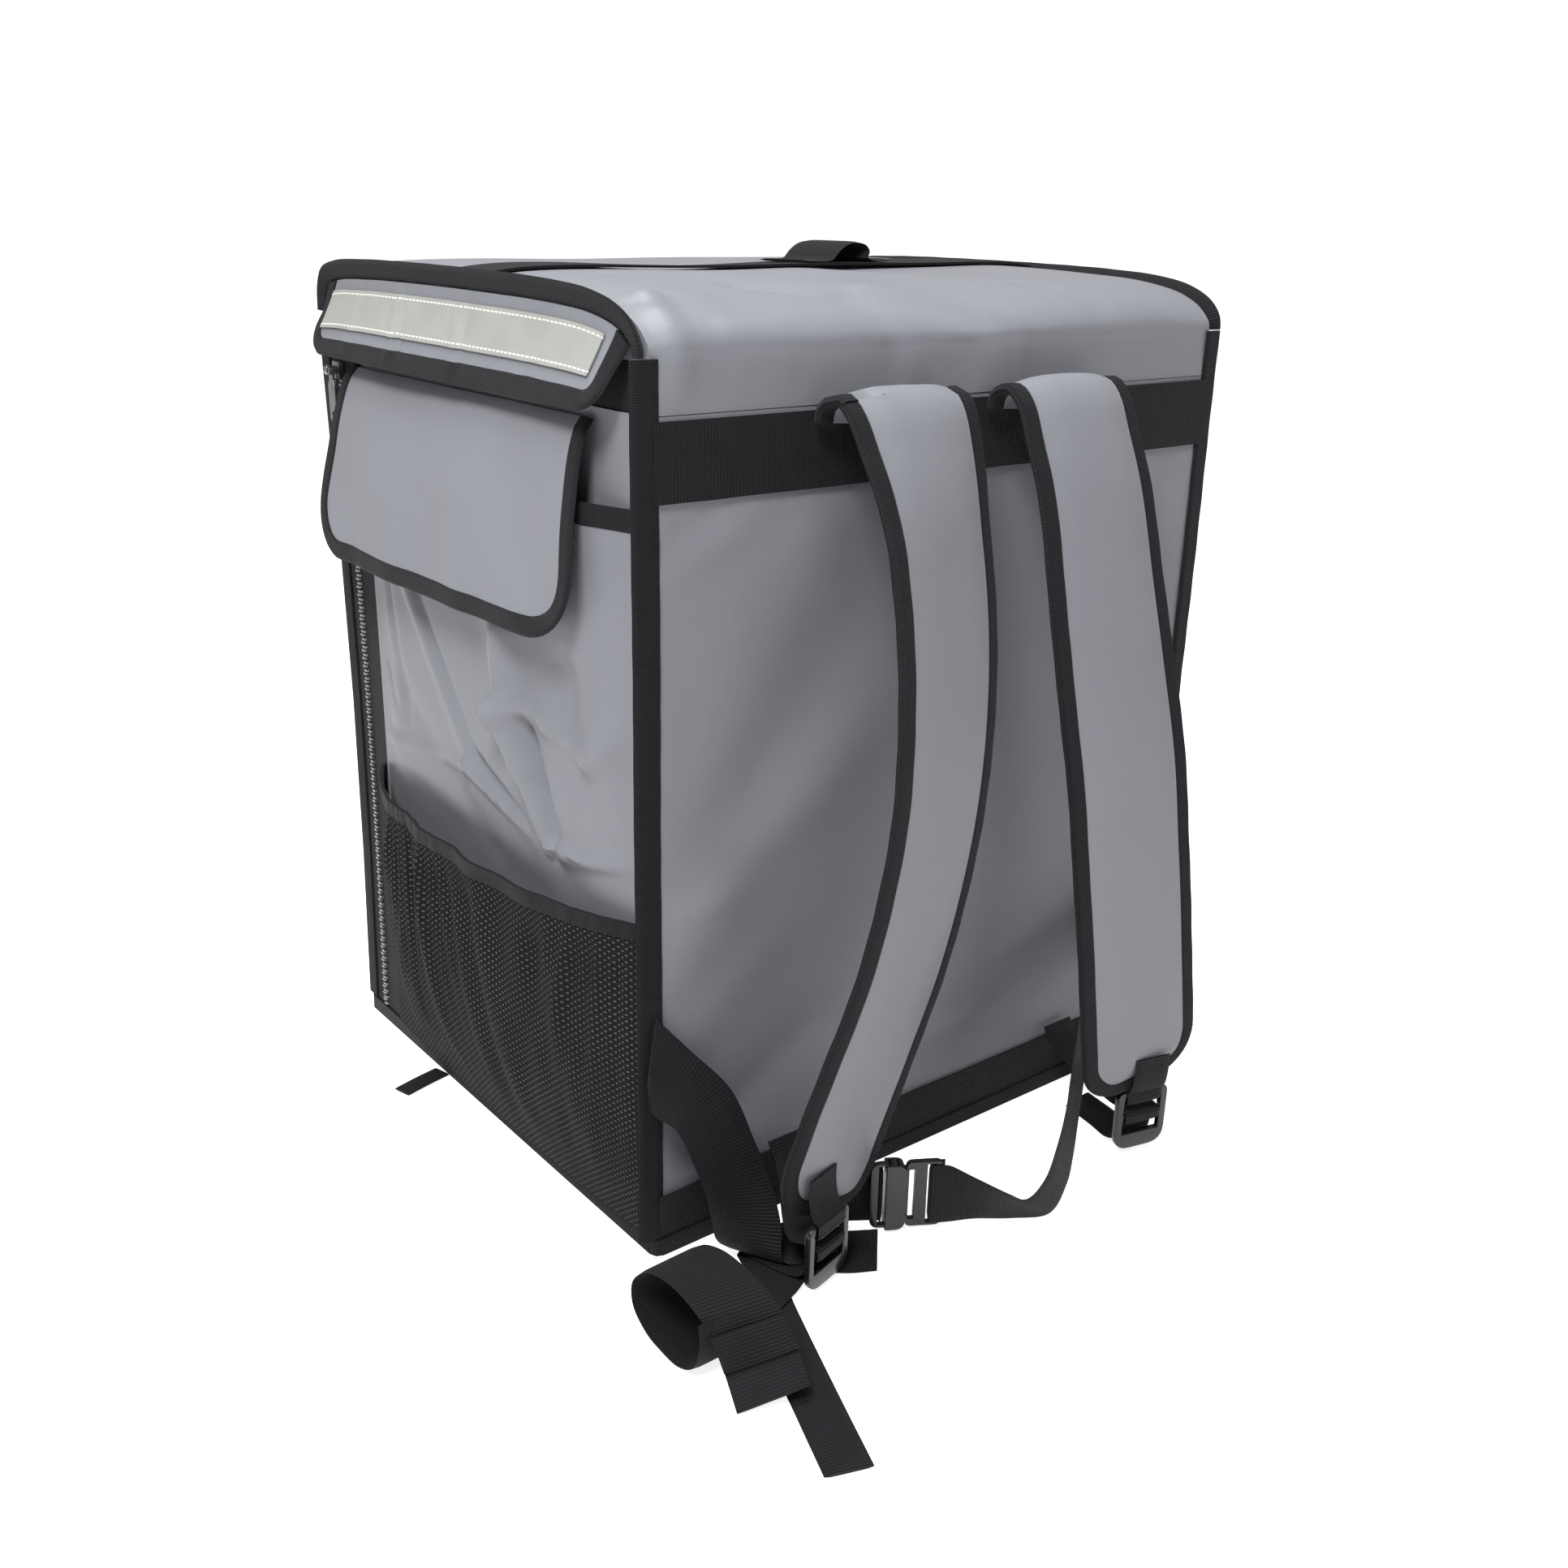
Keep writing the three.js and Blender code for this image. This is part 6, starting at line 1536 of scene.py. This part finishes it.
class BACKPACK_OT_stage(bpy.types.Operator):
    """Build the floor, lights and camera"""
    bl_idname = "backpack.stage"
    bl_label = "Stage"
    bl_options = {"REGISTER", "UNDO"}

    def execute(self, context):
        build_stage(context.scene.backpack_stage)
        return {"FINISHED"}


BUTTONS = (BACKPACK_OT_stage, BACKPACK_OT_body, BACKPACK_OT_lid, BACKPACK_OT_lid_flaps, BACKPACK_OT_bindings,
           BACKPACK_OT_pockets, BACKPACK_OT_zip, BACKPACK_OT_straps, BACKPACK_OT_adjusters,
           BACKPACK_OT_belts, BACKPACK_OT_handle, BACKPACK_OT_fittings)
SETTINGS = {"backpack_colours": BackpackColours, "backpack_sizes": BackpackSizes,
            "backpack_stage": BackpackStage}


class BACKPACK_PT_panel(bpy.types.Panel):
    """Settings, and a button for each group of pieces"""
    bl_label = "Backpack"
    bl_space_type = "VIEW_3D"
    bl_region_type = "UI"
    bl_category = "Backpack"

    def draw(self, context):
        layout = self.layout
        for group, kind in SETTINGS.items():
            for name in kind.__annotations__:
                layout.prop(getattr(context.scene, group), name)
        for kind in BUTTONS:
            layout.operator(kind.bl_idname)


CLASSES = (*SETTINGS.values(), *BUTTONS, BACKPACK_PT_panel)


def register():
    """Makes Blender know the classes and gives each scene its settings."""
    for kind in CLASSES:
        bpy.utils.register_class(kind)
    for group, kind in SETTINGS.items():
        setattr(bpy.types.Scene, group, PointerProperty(type=kind))


def unregister():
    """Takes away what register added."""
    for group in SETTINGS:
        delattr(bpy.types.Scene, group)
    for kind in reversed(CLASSES):
        bpy.utils.unregister_class(kind)


def main():
    """Builds the stage and every piece."""
    register()
    bpy.ops.backpack.stage()
    bpy.ops.backpack.body()
    bpy.ops.backpack.lid()
    bpy.ops.backpack.lid_flaps()
    bpy.ops.backpack.bindings()
    bpy.ops.backpack.pockets()
    bpy.ops.backpack.zip()
    bpy.ops.backpack.straps()
    bpy.ops.backpack.adjusters()
    bpy.ops.backpack.belts()
    bpy.ops.backpack.handle()
    bpy.ops.backpack.fittings()


if __name__ == "__main__":
    main()
